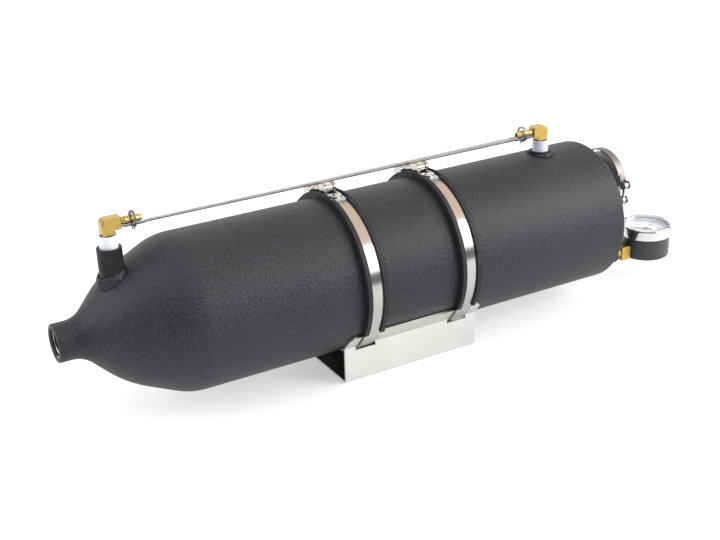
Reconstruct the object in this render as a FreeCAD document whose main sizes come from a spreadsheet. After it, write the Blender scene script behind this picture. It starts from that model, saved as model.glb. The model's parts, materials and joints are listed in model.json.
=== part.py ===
import FreeCAD, Part
import Sketcher
import math
import os

# Engine oil accumulator: a spun pressure bottle lying in a folded bracket, held by two cushioned
# band clamps, with a sight tube on top and a pressure gauge and a clamped filler port on its end.
# Millimetres. The origin is the centre of the bracket's underside, +X runs along the bottle from
# the neck to the gauge and +Z is up.

VALUES = {
    # bottle
    "tank_clearance": 14,
    "tank_radius": 54,
    "tank_wall": 2,
    "neck_reach": 241.5,
    "end_reach": 181,
    "neck_radius": 12.8,
    "neck_bore": 9.2,
    "neck_chamfer": 1,
    "neck_straight": 8.5,
    "thread_depth": 16,
    "throat_radius": 18,
    "throat_angle": 45,
    "throat_rise": 8.3,
    "shoulder_radius": 78,
    "cone_angle": 24,
    "knuckle_radius": 44,
    "plate_thickness": 4,
    "plate_edge": 2,
    # sight tube and its fittings
    "bung_radius": 8.1,
    "tape_gap": 0.15,
    "bung_throat": 4,
    "bung_socket": 9,
    "bung_stand": 2.3,
    "bung_bevel": 0.5,
    "neck_bung_depth": 6.5,
    "end_bung_length": 12,
    "neck_bung_inset": 42.5,
    "end_bung_inset": 41,
    "weld_height": 6.5,
    "weld_spread": 4.2,
    "weld_edge": 0.4,
    "weld_sink": 2,
    "weld_gap": 0.05,
    "plate_weld_leg": 2,
    "elbow_side": 8,
    "elbow_rise": 8.2,
    "elbow_height": 11,
    "elbow_reach": 12.7,
    "elbow_corner": 3.5,
    "elbow_bevel": 0.4,
    "elbow_passage": 1.6,
    "thread_radius": 5.05,
    "thread_gap": 0.05,
    "thread_bevel": 0.6,
    "tape_thickness": 0.85,
    "tape_depth": 6,
    "tape_margin": 0.8,
    "tube_radius": 4,
    "tube_bore": 2.5,
    "barb_root": 2.4,
    "barb_crest": 2.9,
    "barb_nose": 2.05,
    "barb_length": 14,
    "barb_pitch": 3.2,
    "barb_neck": 3,
    "wire_radius": 0.55,
    "wire_gap": 0.15,
    "wire_lean": 35,
    "wire_tang": 2.4,
    # bracket
    "slit_margin": 8.5,
    "fold_inset": 4.8256,
    "sheet": 1.5,
    "bend_radius": 1.2,
    "flange_angle": 50.8,
    "flange_tip": 6.3,
    "flange_corner": 6,
    "base_gap": 0.15,
    "slit_gap": 1.75,
    "slit_height": 3.2,
    "hole_radius": 4.2,
    "hole_inset_x": 16.5,
    "hole_inset_y": 15.3,
    # cushioned band clamps
    "band_spacing": 76,
    "band_width": 12.5,
    "band_thickness": 0.8,
    "liner_floor": 1.95,
    "lip_thickness": 1.4,
    "liner_side": 1.4,
    "liner_lip": 1.7,
    "liner_gap": 0.1,
    "liner_sweep": 238,
    "loop_pin": 3.5,
    "loop_width": 9.5,
    "loop_neck": 5,
    "loop_slack": 0.02,
    "window_slack": 0.04,
    "loop_front": 8,
    "loop_rear": 31,
    "leg_sweep": 14,
    "loop_slot": 5.4,
    "boss_gap": 0.15,
    "bolt_radius": 2,
    "nut_flats": 7,
    "nut_height": 3.6,
    "pin_gap": 0.05,
    # filler port and its V-band clamp
    "port_offset": 20,
    "port_reach": 21.6,
    "port_tube": 19,
    "port_wall": 2,
    "flange_lip": 3.3,
    "flange_edge": 2,
    "flange_taper": 1.2,
    "face_gap": 0.2,
    "spigot_length": 3,
    "spigot_gap": 0.2,
    "seal_section": 0.95,
    "seal_gap": 0.2,
    "vee_root_gap": 0.9,
    "vee_leg": 0.55,
    "vee_gap": 0.12,
    "vee_sweep": 50,
    "vee_spread": 70,
    "vee_rim_gap": 0.3,
    "vee_thickness": 1.6,
    "clasp_thickness": 0.8,
    "clasp_width": 6.2,
    "clasp_loop": 5.8,
    "clasp_pin": 2.4,
    "clasp_angle": 97,
    "clasp_half": 13,
    "clasp_leg": 19,
    "clasp_neck": 9,
    "clasp_slot": 3.9,
    "clasp_bolt": 1.3,
    "clasp_nut_flats": 4.6,
    "clasp_nut_height": 2.6,
    # air valve in the port cap
    "valve_thread": 4.8,
    "valve_hex": 11,
    "valve_hex_height": 3.5,
    "valve_stem": 3.85,
    "valve_stem_length": 8.5,
    "valve_bevel": 0.5,
    "valve_reach": 2,
    "core_gap": 0.1,
    "core_radius": 2.1,
    "core_length": 6,
    "core_depth": 1.4,
    "pin_radius": 0.6,
    "pin_travel": 1,
    "pin_slack": 0.2,
    "pin_head": 0.5,
    "cap_wall": 1.25,
    "cap_gap": 0.1,
    "cap_end": 1.4,
    "cap_lift": 0.3,
    "cap_room": 1.5,
    "cap_bevel": 0.8,
    # pressure gauge
    "stem_exposed": 4.2,
    "gauge_y": 10,
    "gauge_rim_gap": 11.7,
    "gauge_bung_radius": 7,
    "gauge_bung_length": 30,
    "case_radius": 19.6,
    "case_height": 17.6,
    "case_wall": 1.2,
    "case_edge": 1.5,
    "bezel_step": 0.9,
    "bezel_height": 8.6,
    "bezel_inset": 2,
    "bezel_lip": 2,
    "bezel_edge": 2,
    "bezel_slope": 0.6,
    "lens_thickness": 1.5,
    "lens_inset": 0.4,
    "lens_gap": 0.1,
    "dial_seat": 1,
    "dial_thickness": 0.6,
    "dial_drop": 4.2,
    "pointer_margin": 3.4,
    "pointer_tail": 5,
    "pointer_width": 1.8,
    "pointer_thickness": 0.5,
    "pointer_hub": 1.9,
    "pointer_tip": 0.15,
    "pointer_lift": 0.6,
    "hub_rise": 0.5,
    "arbor_rise": 0.2,
    "arbor_radius": 0.7,
    "arbor_gap": 0.05,
    "dial_hole_gap": 0.4,
    "stem_block": 11.2,
    "stem_length": 9,
    "stem_gap": 0.2,
    "stem_thread_length": 12,
    "stem_relief": 0.4,
    "stem_bore": 1.5,
    "stem_bore_depth": 2,
    "stem_height": 6.4,
    "socket_width": 7,
    "socket_depth": 9.4,
    "bourdon_margin": 4.9,
    "bourdon_thickness": 1.6,
    "bourdon_depth": 5,
    "bourdon_wall": 0.3,
    "bourdon_sweep": 255,
    "movement_length": 15,
    "movement_width": 8,
    "movement_plate": 0.8,
    "movement_low": 4.4,
    "movement_high": 12.4,
    "pillar_radius": 1.1,
    "pillar_inset": 1.6,
}

DOCUMENT = FreeCAD.newDocument("OilAccumulator")
PARTS = []


class Size:
    """A size: its number, and the spreadsheet expression that gives it."""

    def __init__(self, number, text):
        self.number = float(number)
        self.text = text

    def joined(self, other, sign, number, swap=False):
        other_text = other.text if isinstance(other, Size) else repr(other)
        first, second = (other_text, self.text) if swap else (self.text, other_text)
        return Size(number, f"({first} {sign} {second})")

    def __add__(self, other):
        return self.joined(other, "+", self.number + number(other))

    def __radd__(self, other):
        return self.joined(other, "+", self.number + number(other), True)

    def __sub__(self, other):
        return self.joined(other, "-", self.number - number(other))

    def __rsub__(self, other):
        return self.joined(other, "-", number(other) - self.number, True)

    def __mul__(self, other):
        return self.joined(other, "*", self.number * number(other))

    def __rmul__(self, other):
        return self.joined(other, "*", self.number * number(other), True)

    def __truediv__(self, other):
        return self.joined(other, "/", self.number / number(other))

    def __neg__(self):
        return Size(-self.number, f"(0 - {self.text})")


def number(value):
    """The plain number of a size or of a number."""
    return value.number if isinstance(value, Size) else float(value)


def sine(angle):
    """The sine of a size in degrees."""
    return Size(math.sin(math.radians(angle.number)), f"sin({angle.text})")


def cosine(angle):
    """The cosine of a size in degrees."""
    return Size(math.cos(math.radians(angle.number)), f"cos({angle.text})")


def root(value):
    """The square root of a size."""
    return Size(math.sqrt(value.number), f"sqrt({value.text})")


def make_sheet():
    """Writes the named values to the spreadsheet and returns them as sizes."""
    sheet = DOCUMENT.addObject("Spreadsheet::Sheet", "Sizes")
    for row, (name, value) in enumerate(VALUES.items(), 1):
        sheet.set(f"A{row}", name)
        sheet.set(f"B{row}", str(value))
        sheet.setAlias(f"B{row}", name)
    DOCUMENT.recompute()
    return {name: Size(sheet.get(name), f"Sizes.{name}") for name in VALUES}


def add_fits(sizes):
    """Adds the sizes that follow from others, so that what fits together stays fitted."""
    own = dict(sizes)
    own["axis_height"] = own["tank_radius"] + own["tank_clearance"]
    own["neck_bung_x"] = own["neck_reach"] - own["neck_bung_inset"]
    own["end_bung_x"] = own["end_reach"] - own["end_bung_inset"]
    own["bung_top"] = own["tank_radius"] + own["bung_stand"]
    tape_inner = own["thread_radius"] + own["thread_gap"]
    own["bung_bore"] = tape_inner + own["tape_thickness"] + own["tape_gap"]
    own["band_inner"] = own["tank_radius"] + own["base_gap"] + own["liner_floor"] + own["liner_gap"]
    own["band_outer"] = own["band_inner"] + own["band_thickness"]
    own["liner_height"] = own["band_outer"] + own["liner_gap"] + own["lip_thickness"]
    own["liner_width"] = own["band_width"] + (own["liner_gap"] + own["liner_side"]) * 2
    leaning_outside = own["tank_radius"] + own["base_gap"] + own["sheet"]
    own["bracket_half"] = leaning_outside * sine(own["flange_angle"]) - own["fold_inset"]
    own["slit_length"] = own["band_width"] + own["slit_gap"] * 2
    own["bracket_length"] = own["band_spacing"] + own["slit_length"] + own["slit_margin"] * 2
    own["hole_span_x"] = own["bracket_length"] - own["hole_inset_x"] * 2
    own["hole_span_y"] = (own["bracket_half"] - own["hole_inset_y"]) * 2
    own["port_bore"] = own["port_tube"] - own["port_wall"]
    own["flange_radius"] = own["port_tube"] + own["flange_lip"]
    own["seal_radius"] = (own["port_bore"] + own["flange_radius"]) / 2
    own["vee_inner"] = own["port_tube"] + own["vee_root_gap"]
    own["vee_rim"] = own["flange_radius"] + own["vee_rim_gap"]
    own["clasp_inner"] = own["vee_rim"] + own["vee_thickness"]
    own["valve_bore"] = own["core_radius"] + own["core_gap"]
    own["pin_bore"] = own["pin_radius"] + own["pin_gap"]
    own["cap_radius"] = own["valve_stem"] + own["cap_gap"] + own["cap_wall"]
    own["stem_start"] = own["case_radius"] + own["stem_gap"]
    stem_end = own["stem_start"] + own["stem_length"] + own["stem_exposed"]
    own["gauge_x"] = own["end_reach"] + own["gauge_bung_length"] + stem_end
    own["gauge_stem_drop"] = own["tank_radius"] - own["gauge_rim_gap"]
    own["case_inner"] = own["case_radius"] - own["case_wall"]
    own["bezel_radius"] = own["case_radius"] + own["bezel_step"]
    own["bezel_window"] = own["case_radius"] - own["bezel_inset"]
    own["pointer_length"] = own["bezel_window"] - own["pointer_margin"]
    own["bourdon_radius"] = own["case_inner"] - own["bourdon_margin"]
    return own


S = add_fits(make_sheet())

# Directions that the sub-parts are placed along. In the two lying ones the body's own X points up.
UPRIGHT = FreeCAD.Rotation()
ALONG_TANK = FreeCAD.Rotation(FreeCAD.Vector(1, 0, 1), 180)
TOWARDS_NECK = FreeCAD.Rotation(FreeCAD.Vector(0, 1, 0), -90)


def bind(thing, name, size):
    """Binds a property to a size."""
    if isinstance(size, Size):
        thing.setExpression(name, size.text)
    else:
        setattr(thing, name, size)


def place(thing, at, turn=UPRIGHT):
    """Places an object with its position bound to the sheet."""
    thing.Placement = FreeCAD.Placement(FreeCAD.Vector(*[number(part) for part in at]), turn)
    for axis, part in zip("xyz", at):
        if isinstance(part, Size):
            thing.setExpression(f"Placement.Base.{axis}", part.text)


def keep(thing, label):
    """Names a finished sub-part, which is written to its own file."""
    thing.Label = label
    PARTS.append(thing)
    return thing


def new_body(name, at, turn=UPRIGHT):
    """A placed, empty body."""
    body = DOCUMENT.addObject("PartDesign::Body", name)
    place(body, at, turn)
    return body


def new_sketch(body, role, name):
    """A sketch on one of the body's own origin planes."""
    plane = [item for item in body.Origin.OriginFeatures if item.Role == role][0]
    sketch = body.newObject("Sketcher::SketchObject", name)
    sketch.AttachmentSupport = (plane, [""])
    sketch.MapMode = "FlatFace"
    return sketch


def pin_point(sketch, edge, end, point):
    """Fixes one end of an edge at a point given by two sizes."""
    for kind, part in zip(("DistanceX", "DistanceY"), point):
        index = sketch.addConstraint(Sketcher.Constraint(kind, -1, 1, edge, end, number(part)))
        if isinstance(part, Size):
            sketch.setExpression(f"Constraints[{index}]", part.text)


def draw_outline(sketch, points, arcs=None):
    """Draws a closed outline of fixed corners. arcs maps an edge to its radius and its middle."""
    arcs = arcs or {}
    first = sketch.GeometryCount
    count = len(points)
    spots = [FreeCAD.Vector(number(x), number(y), 0) for x, y in points]
    for index in range(count):
        start, stop = spots[index], spots[(index + 1) % count]
        if index in arcs:
            draw_arc(sketch, start, stop, *arcs[index])
        else:
            sketch.addGeometry(Part.LineSegment(start, stop), False)
    for index, point in enumerate(points):
        begins = 1
        if index in arcs and arcs[index][1]:
            begins = 2
        pin_point(sketch, first + index, begins, point)
        ends = 2
        last = (index - 1) % count
        if last in arcs and arcs[last][1]:
            ends = 1
        pin_point(sketch, first + last, ends, point)


def draw_arc(sketch, start, stop, radius, clockwise):
    """Adds the shorter arc of a given radius between two spots and fixes its radius."""
    middle = (start + stop) * 0.5
    half = (stop - start).Length / 2
    rise = math.sqrt(max(number(radius) ** 2 - half**2, 0.0))
    along = (stop - start).normalize()
    side = FreeCAD.Vector(-along.y, along.x, 0) * (-rise if clockwise else rise)
    centre = middle + side
    angles = [math.atan2(spot.y - centre.y, spot.x - centre.x) for spot in (start, stop)]
    if clockwise:
        angles.reverse()
    circle = Part.Circle(centre, FreeCAD.Vector(0, 0, 1), number(radius))
    edge = sketch.addGeometry(Part.ArcOfCircle(circle, *angles), False)
    index = sketch.addConstraint(Sketcher.Constraint("Radius", edge, number(radius)))
    if isinstance(radius, Size):
        sketch.setExpression(f"Constraints[{index}]", radius.text)


def draw_circle(sketch, centre, radius):
    """Adds a circle whose centre and radius are sizes."""
    spot = FreeCAD.Vector(number(centre[0]), number(centre[1]), 0)
    edge = sketch.addGeometry(Part.Circle(spot, FreeCAD.Vector(0, 0, 1), number(radius)), False)
    pin_point(sketch, edge, 3, centre)
    index = sketch.addConstraint(Sketcher.Constraint("Radius", edge, number(radius)))
    if isinstance(radius, Size):
        sketch.setExpression(f"Constraints[{index}]", radius.text)


def box_corners(low, high):
    """The four corners of a rectangle, counter-clockwise."""
    return [low, (high[0], low[1]), high, (low[0], high[1])]


def turn_feature(body, kind, name, points, arcs=None, sweep=360):
    """A Revolution or Groove about the body's Z axis of an outline of radii and heights."""
    sketch = new_sketch(body, "XZ_Plane", name + "Outline")
    draw_outline(sketch, points, arcs)
    feature = body.newObject(f"PartDesign::{kind}", name)
    feature.Profile = sketch
    feature.ReferenceAxis = (sketch, ["V_Axis"])
    bind(feature, "Angle", sweep)
    feature.Midplane = number(sweep) < 360
    return feature


def pad_feature(body, name, role, points, length, arcs=None, midplane=True):
    """A Pad of an outline on an origin plane."""
    sketch = new_sketch(body, role, name + "Outline")
    draw_outline(sketch, points, arcs)
    feature = body.newObject("PartDesign::Pad", name)
    feature.Profile = sketch
    bind(feature, "Length", length)
    feature.Midplane = midplane
    return feature


def pocket_feature(body, name, sketch, length, midplane=False, backwards=False):
    """A Pocket of a sketch, which must take material away."""
    DOCUMENT.recompute()
    before = body.Shape.Volume
    feature = body.newObject("PartDesign::Pocket", name)
    feature.Profile = sketch
    bind(feature, "Length", length)
    feature.Midplane = midplane
    feature.Reversed = backwards
    DOCUMENT.recompute()
    if body.Shape.Volume > before - 1e-3:
        raise RuntimeError(f"{name} cut nothing")
    return feature


def edges_where(body, test):
    """The names of the body's edges whose middle and direction pass a test."""
    DOCUMENT.recompute()
    names = []
    for index, edge in enumerate(body.Shape.Edges, 1):
        middle = edge.valueAt((edge.FirstParameter + edge.LastParameter) / 2)
        local = body.Placement.inverse().multVec(middle)
        if test(edge, local):
            names.append(f"Edge{index}")
    return names


def round_edges(body, name, radius, test):
    """Rounds the edges that pass a test."""
    base = body.Tip
    names = edges_where(body, test)
    feature = body.newObject("PartDesign::Fillet", name)
    feature.Base = (base, names)
    bind(feature, "Radius", radius)
    return feature


def bevel_edges(body, name, size, test):
    """Bevels the edges that pass a test."""
    base = body.Tip
    names = edges_where(body, test)
    feature = body.newObject("PartDesign::Chamfer", name)
    feature.Base = (base, names)
    bind(feature, "Size", size)
    return feature


def straight_along(edge, axis):
    """Whether an edge is straight and runs along a row axis, given as 0, 1 or 2."""
    ends = [vertex.Point for vertex in edge.Vertexes]
    if len(ends) != 2:
        return False
    span = ends[1] - ends[0]
    return abs(abs(span[axis]) - span.Length) < 1e-6 and abs(span.Length - edge.Length) < 1e-6


def cylinder(name, radius, height, at, turn=UPRIGHT, sweep=360):
    """A Part cylinder, or a sector of one, bound to the sheet."""
    solid = DOCUMENT.addObject("Part::Cylinder", name)
    bind(solid, "Radius", radius)
    bind(solid, "Height", height)
    bind(solid, "Angle", sweep)
    place(solid, at, turn)
    return solid


def block(name, sides, at, turn=UPRIGHT):
    """A Part box bound to the sheet."""
    solid = DOCUMENT.addObject("Part::Box", name)
    for prop, side in zip(("Length", "Width", "Height"), sides):
        bind(solid, prop, side)
    place(solid, at, turn)
    return solid


def fused(name, solids):
    """The union of several solids."""
    union = DOCUMENT.addObject("Part::MultiFuse", name)
    union.Shapes = solids
    union.Refine = True
    return union


def less(name, base, tool):
    """One solid less another."""
    cut = DOCUMENT.addObject("Part::Cut", name)
    cut.Base = base
    cut.Tool = tool
    return cut


def shared(name, base, tool):
    """What two solids have in common."""
    common = DOCUMENT.addObject("Part::Common", name)
    common.Base = base
    common.Tool = tool
    return common


def grouped(name, solids):
    """Several separate solids kept as one sub-part."""
    group = DOCUMENT.addObject("Part::Compound", name)
    group.Links = solids
    return group


# Heights along the bottle, from the neck's rim, and radii of its spun outline
THROAT_END = (
    S["neck_straight"] + S["throat_radius"] * sine(S["throat_angle"]),
    S["neck_radius"] + S["throat_radius"] * (1 - cosine(S["throat_angle"])),
)
SHOULDER_START = (
    THROAT_END[0] + S["throat_rise"] / (sine(S["throat_angle"]) / cosine(S["throat_angle"])),
    THROAT_END[1] + S["throat_rise"],
)
SHOULDER_END = (
    SHOULDER_START[0] + S["shoulder_radius"] * (sine(S["throat_angle"]) - sine(S["cone_angle"])),
    SHOULDER_START[1] + S["shoulder_radius"] * (cosine(S["cone_angle"]) - cosine(S["throat_angle"])),
)
KNUCKLE_RADIUS = S["tank_radius"] - S["knuckle_radius"] * (1 - cosine(S["cone_angle"]))
KNUCKLE_START = (
    SHOULDER_END[0] + (KNUCKLE_RADIUS - SHOULDER_END[1]) * cosine(S["cone_angle"]) / sine(S["cone_angle"]),
    KNUCKLE_RADIUS,
)
KNUCKLE_END = (KNUCKLE_START[0] + S["knuckle_radius"] * sine(S["cone_angle"]), S["tank_radius"])

# The slope of the shoulder and its radius where the neck-side bung stands on it
BUNG_RISE = S["neck_bung_inset"] - SHOULDER_START[0]
BUNG_SLOPE_SINE = sine(S["throat_angle"]) - BUNG_RISE / S["shoulder_radius"]
BUNG_SLOPE_COSINE = root(1 - BUNG_SLOPE_SINE * BUNG_SLOPE_SINE)
BUNG_FOOT = SHOULDER_START[1] + S["shoulder_radius"] * (BUNG_SLOPE_COSINE - cosine(S["throat_angle"]))

SHELL_LENGTH = S["neck_reach"] + S["end_reach"] - S["plate_thickness"]
NECK_RIM = (-S["neck_reach"], 0, S["axis_height"])


def inward(spot, angle, depth):
    """A point of the spun outline, given as height and radius, moved in square to the surface."""
    height, radius = spot
    return (height + depth * sine(angle), radius - depth * cosine(angle))


def outer_outline():
    """The outer outline from the neck's rim to the open end, as radii and heights."""
    spots = [
        (Size(0, "0"), S["neck_radius"]),
        (S["neck_straight"], S["neck_radius"]),
        THROAT_END,
        SHOULDER_START,
        SHOULDER_END,
        KNUCKLE_START,
        KNUCKLE_END,
    ]
    return [(radius, height) for height, radius in spots]


def tank_shell():
    """The spun bottle: thick threaded neck, throat, shoulder, knuckle and straight wall."""
    step_height = S["thread_depth"] - S["neck_straight"]
    throat = S["throat_radius"] + S["tank_wall"]
    step_radius = S["neck_radius"] + S["throat_radius"] - root(throat * throat - step_height * step_height)
    inner = [
        inward(KNUCKLE_END, Size(0, "0"), S["tank_wall"]),
        inward(KNUCKLE_START, S["cone_angle"], S["tank_wall"]),
        inward(SHOULDER_END, S["cone_angle"], S["tank_wall"]),
        inward(SHOULDER_START, S["throat_angle"], S["tank_wall"]),
        inward(THROAT_END, S["throat_angle"], S["tank_wall"]),
        (S["thread_depth"], step_radius),
        (S["thread_depth"], S["neck_bore"]),
        (S["neck_chamfer"], S["neck_bore"]),
        (Size(0, "0"), S["neck_bore"] + S["neck_chamfer"]),
    ]
    points = outer_outline()
    points.append((S["tank_radius"], SHELL_LENGTH))
    points.append((S["tank_radius"] - S["tank_wall"], SHELL_LENGTH))
    points.extend((radius, height) for height, radius in inner)
    wall = S["tank_wall"]
    arcs = {
        1: (S["throat_radius"], True),
        3: (S["shoulder_radius"], False),
        5: (S["knuckle_radius"], False),
        9: (S["knuckle_radius"] - wall, True),
        11: (S["shoulder_radius"] - wall, True),
        13: (S["throat_radius"] + wall, False),
    }
    body = new_body("TankShell", NECK_RIM, ALONG_TANK)
    turn_feature(body, "Revolution", "SpunWall", points, arcs)
    for name, height in (("NeckBungHole", S["neck_reach"] - S["neck_bung_x"]),
                         ("EndBungHole", S["neck_reach"] + S["end_bung_x"])):
        sketch = new_sketch(body, "YZ_Plane", name + "Circle")
        draw_circle(sketch, (0, height), S["bung_radius"] + S["thread_gap"])
        pocket_feature(body, name, sketch, S["tank_radius"] + S["bung_radius"], backwards=True)
    round_edges(body, "NeckRim", S["neck_chamfer"], rim_edge)
    keep(body, "tank_shell")


def rim_edge(edge, spot):
    """Whether an edge is the outer corner of the neck's rim."""
    return abs(spot.z) < 1e-3 and abs(edge.Length - 2 * math.pi * S["neck_radius"].number) < 1e-2


def tank_envelope(name):
    """The bottle's outside, a weld's gap larger, as one closed solid that shapes the welds on it."""
    gap = -S["weld_gap"]
    spots = [
        inward(THROAT_END, S["throat_angle"], gap),
        inward(SHOULDER_START, S["throat_angle"], gap),
        inward(SHOULDER_END, S["cone_angle"], gap),
        inward(KNUCKLE_START, S["cone_angle"], gap),
        inward(KNUCKLE_END, Size(0, "0"), gap),
    ]
    outer = S["tank_radius"] - gap
    points = [(0, THROAT_END[0])]
    points.extend((radius, height) for height, radius in spots)
    points.extend([(outer, SHELL_LENGTH), (0, SHELL_LENGTH)])
    arcs = {2: (S["shoulder_radius"] - gap, False), 4: (S["knuckle_radius"] - gap, False)}
    body = new_body(name, NECK_RIM, ALONG_TANK)
    turn_feature(body, "Revolution", name + "Turn", points, arcs)
    return body


PLATE_FACE = S["end_reach"]
PORT_CENTRE = S["axis_height"] + S["port_offset"]
GAUGE_STEM_HEIGHT = S["axis_height"] - S["gauge_stem_drop"]


def end_plate():
    """The flat end plate with a rounded rim, a hole for the port and one for the gauge bung."""
    body = new_body("EndPlate", (PLATE_FACE - S["plate_thickness"], 0, S["axis_height"]), ALONG_TANK)
    points = box_corners((0, 0), (S["tank_radius"], S["plate_thickness"]))
    turn_feature(body, "Revolution", "Disc", points)
    holes = new_sketch(body, "XY_Plane", "PortHoles")
    draw_circle(holes, (S["port_offset"], 0), S["port_tube"] + S["thread_gap"])
    draw_circle(holes, (-S["gauge_stem_drop"], S["gauge_y"]), S["gauge_bung_radius"] + S["thread_gap"])
    pocket_feature(body, "Ports", holes, S["plate_thickness"] * 2, midplane=True)
    outer = 2 * math.pi * S["tank_radius"].number
    round_edges(body, "PlateRim", S["plate_edge"],
                lambda edge, spot: spot.z > 1 and abs(edge.Length - outer) < 1e-2)
    keep(body, "end_plate")


def bung(name, label, across, length):
    """A welded bung of the sight tube: a turned boss with a socket for the elbow's thread."""
    body = new_body(name, (across, 0, S["axis_height"] + S["bung_top"] - length))
    bevel = S["bung_bevel"]
    points = [
        (S["bung_throat"], 0),
        (S["bung_radius"], 0),
        (S["bung_radius"], length - bevel),
        (S["bung_radius"] - bevel, length),
        (S["bung_bore"] + bevel, length),
        (S["bung_bore"], length - bevel),
        (S["bung_bore"], length - S["bung_socket"]),
        (S["bung_throat"], length - S["bung_socket"]),
    ]
    turn_feature(body, "Revolution", name + "Turn", points)
    keep(body, label)


def bung_weld(name, across, lift, slope, height):
    """The weld fillet round a sight bung: a short cone less the bung and the bottle."""
    radius = S["bung_radius"] + S["weld_gap"]
    boss = cylinder(name + "Boss", radius, S["axis_height"] + S["bung_top"] + height, (across, 0, 0))
    core = fused(name + "Core", [tank_envelope(name + "Tank"), boss])
    cone = DOCUMENT.addObject("Part::Cone", name + "Cone")
    bind(cone, "Radius1", radius + S["weld_spread"])
    bind(cone, "Radius2", radius + S["weld_edge"])
    bind(cone, "Height", height)
    place(cone, (across, 0, S["axis_height"] + lift), FreeCAD.Rotation(FreeCAD.Vector(0, 1, 0), -slope))
    return less(name, cone, core)


def weld_beads():
    """The weld fillets round the two sight bungs, the port and the gauge bung."""
    slope = math.degrees(math.asin(BUNG_SLOPE_SINE.number))
    low_height = S["bung_top"] - S["tank_radius"] + S["weld_sink"] - S["weld_edge"]
    welds = [
        bung_weld("NeckWeld", -S["neck_bung_x"], BUNG_FOOT - S["weld_sink"], slope, S["weld_height"]),
        bung_weld("EndWeld", S["end_bung_x"], S["tank_radius"] - S["weld_sink"], 0, low_height),
        plate_weld("PortWeld", (PLATE_FACE, 0, PORT_CENTRE), S["port_tube"]),
        plate_weld("GaugeWeld", (PLATE_FACE, -S["gauge_y"], GAUGE_STEM_HEIGHT), S["gauge_bung_radius"]),
    ]
    keep(grouped("WeldBeads", welds), "weld_beads")


def plate_weld(name, at, radius):
    """The weld fillet round a tube that stands on the end plate."""
    leg = S["plate_weld_leg"]
    low = S["weld_gap"]
    body = new_body(name, at, ALONG_TANK)
    points = [(radius + low, low), (radius + leg, low), (radius + low, leg)]
    turn_feature(body, "Revolution", name + "Turn", points)
    return body


TUBE_HEIGHT = S["axis_height"] + S["bung_top"] + S["elbow_rise"] + S["elbow_height"] - S["elbow_side"] / 2


def elbow(name, label, across, mirrored):
    """A square brass elbow: male thread below, hose barb to one side, drilled through."""
    turn = FreeCAD.Rotation(FreeCAD.Vector(0, 0, 1), 180 if mirrored else 0)
    base = S["axis_height"] + S["bung_top"] + S["elbow_rise"]
    body = new_body(name, (across, 0, base), turn)
    half = S["elbow_side"] / 2
    points = [
        (-half, 0),
        (half, 0),
        (half, S["elbow_height"] - S["elbow_side"]),
        (S["elbow_reach"] - half, S["elbow_height"] - S["elbow_side"]),
        (S["elbow_reach"] - half, S["elbow_height"]),
        (-half, S["elbow_height"]),
    ]
    pad_feature(body, name + "Block", "XZ_Plane", points, S["elbow_side"])
    round_edges(body, name + "Corner", S["elbow_corner"], lambda edge, spot: (
        straight_along(edge, 1) and spot.x < 0 and spot.z > 1))
    bevel_edges(body, name + "Edges", S["elbow_bevel"], lambda edge, spot: (
        not straight_along(edge, 1) and abs(abs(spot.y) - half.number) < 1e-3))
    shank = S["elbow_rise"] + S["tape_depth"]
    shoulder = half - S["elbow_bevel"]
    thread = [
        (0, -shank),
        (S["thread_radius"] - S["thread_bevel"], -shank),
        (S["thread_radius"], S["thread_bevel"] - shank),
        (shoulder, -S["thread_bevel"]),
        (shoulder, 0),
        (0, 0),
    ]
    turn_feature(body, "Revolution", name + "Thread", thread)
    barb_on(body, name)
    drill_elbow(body, name, shank)
    keep(body, label)


def barb_on(body, name):
    """Adds the hose barb: three sharp rings on a stem, turned about a lying axis."""
    start = S["elbow_reach"] - S["elbow_side"] / 2
    lift = S["elbow_height"] - S["elbow_side"] / 2
    points = [(start - 1, lift), (start - 1, lift + S["barb_root"])]
    ring = start + S["barb_neck"]
    for count in range(3):
        points.append((ring, lift + S["barb_root"]))
        points.append((ring, lift + S["barb_crest"]))
        ring = ring + S["barb_pitch"]
    points.append((start + S["barb_length"], lift + S["barb_nose"]))
    points.append((start + S["barb_length"], lift))
    sketch = new_sketch(body, "XZ_Plane", name + "BarbOutline")
    draw_outline(sketch, points)
    axis = sketch.addGeometry(Part.LineSegment(FreeCAD.Vector(number(start), number(lift), 0),
                                               FreeCAD.Vector(number(start) + 5, number(lift), 0)), True)
    pin_point(sketch, axis, 1, (start, lift))
    pin_point(sketch, axis, 2, (start + 5, lift))
    feature = body.newObject("PartDesign::Revolution", name + "Barb")
    feature.Profile = sketch
    feature.ReferenceAxis = (sketch, ["Axis0"])
    feature.Angle = 360


def drill_elbow(body, name, shank):
    """Drills the passage up the thread and along the barb."""
    lift = S["elbow_height"] - S["elbow_side"] / 2
    upright = new_sketch(body, "XZ_Plane", name + "UprightBore")
    draw_outline(upright, box_corners((0, -shank - 1), (S["elbow_passage"], lift)))
    groove = body.newObject("PartDesign::Groove", name + "Upright")
    groove.Profile = upright
    groove.ReferenceAxis = (upright, ["V_Axis"])
    groove.Angle = 360
    lying = new_sketch(body, "YZ_Plane", name + "LyingBore")
    draw_circle(lying, (0, lift), S["elbow_passage"])
    pocket_feature(body, name + "Lying", lying, S["elbow_reach"] + S["barb_length"], backwards=True)


def thread_tape(name, label, across):
    """The wrapped sealing tape round an elbow's thread."""
    length = S["elbow_rise"] + S["tape_depth"] - S["tape_margin"] - S["tape_gap"]
    base = S["axis_height"] + S["bung_top"] - S["tape_depth"] + S["tape_margin"]
    body = new_body(name, (across, 0, base))
    inner = S["thread_radius"] + S["thread_gap"]
    points = box_corners((inner, 0), (inner + S["tape_thickness"], length))
    turn_feature(body, "Revolution", name + "Turn", points)
    keep(body, label)


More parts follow.
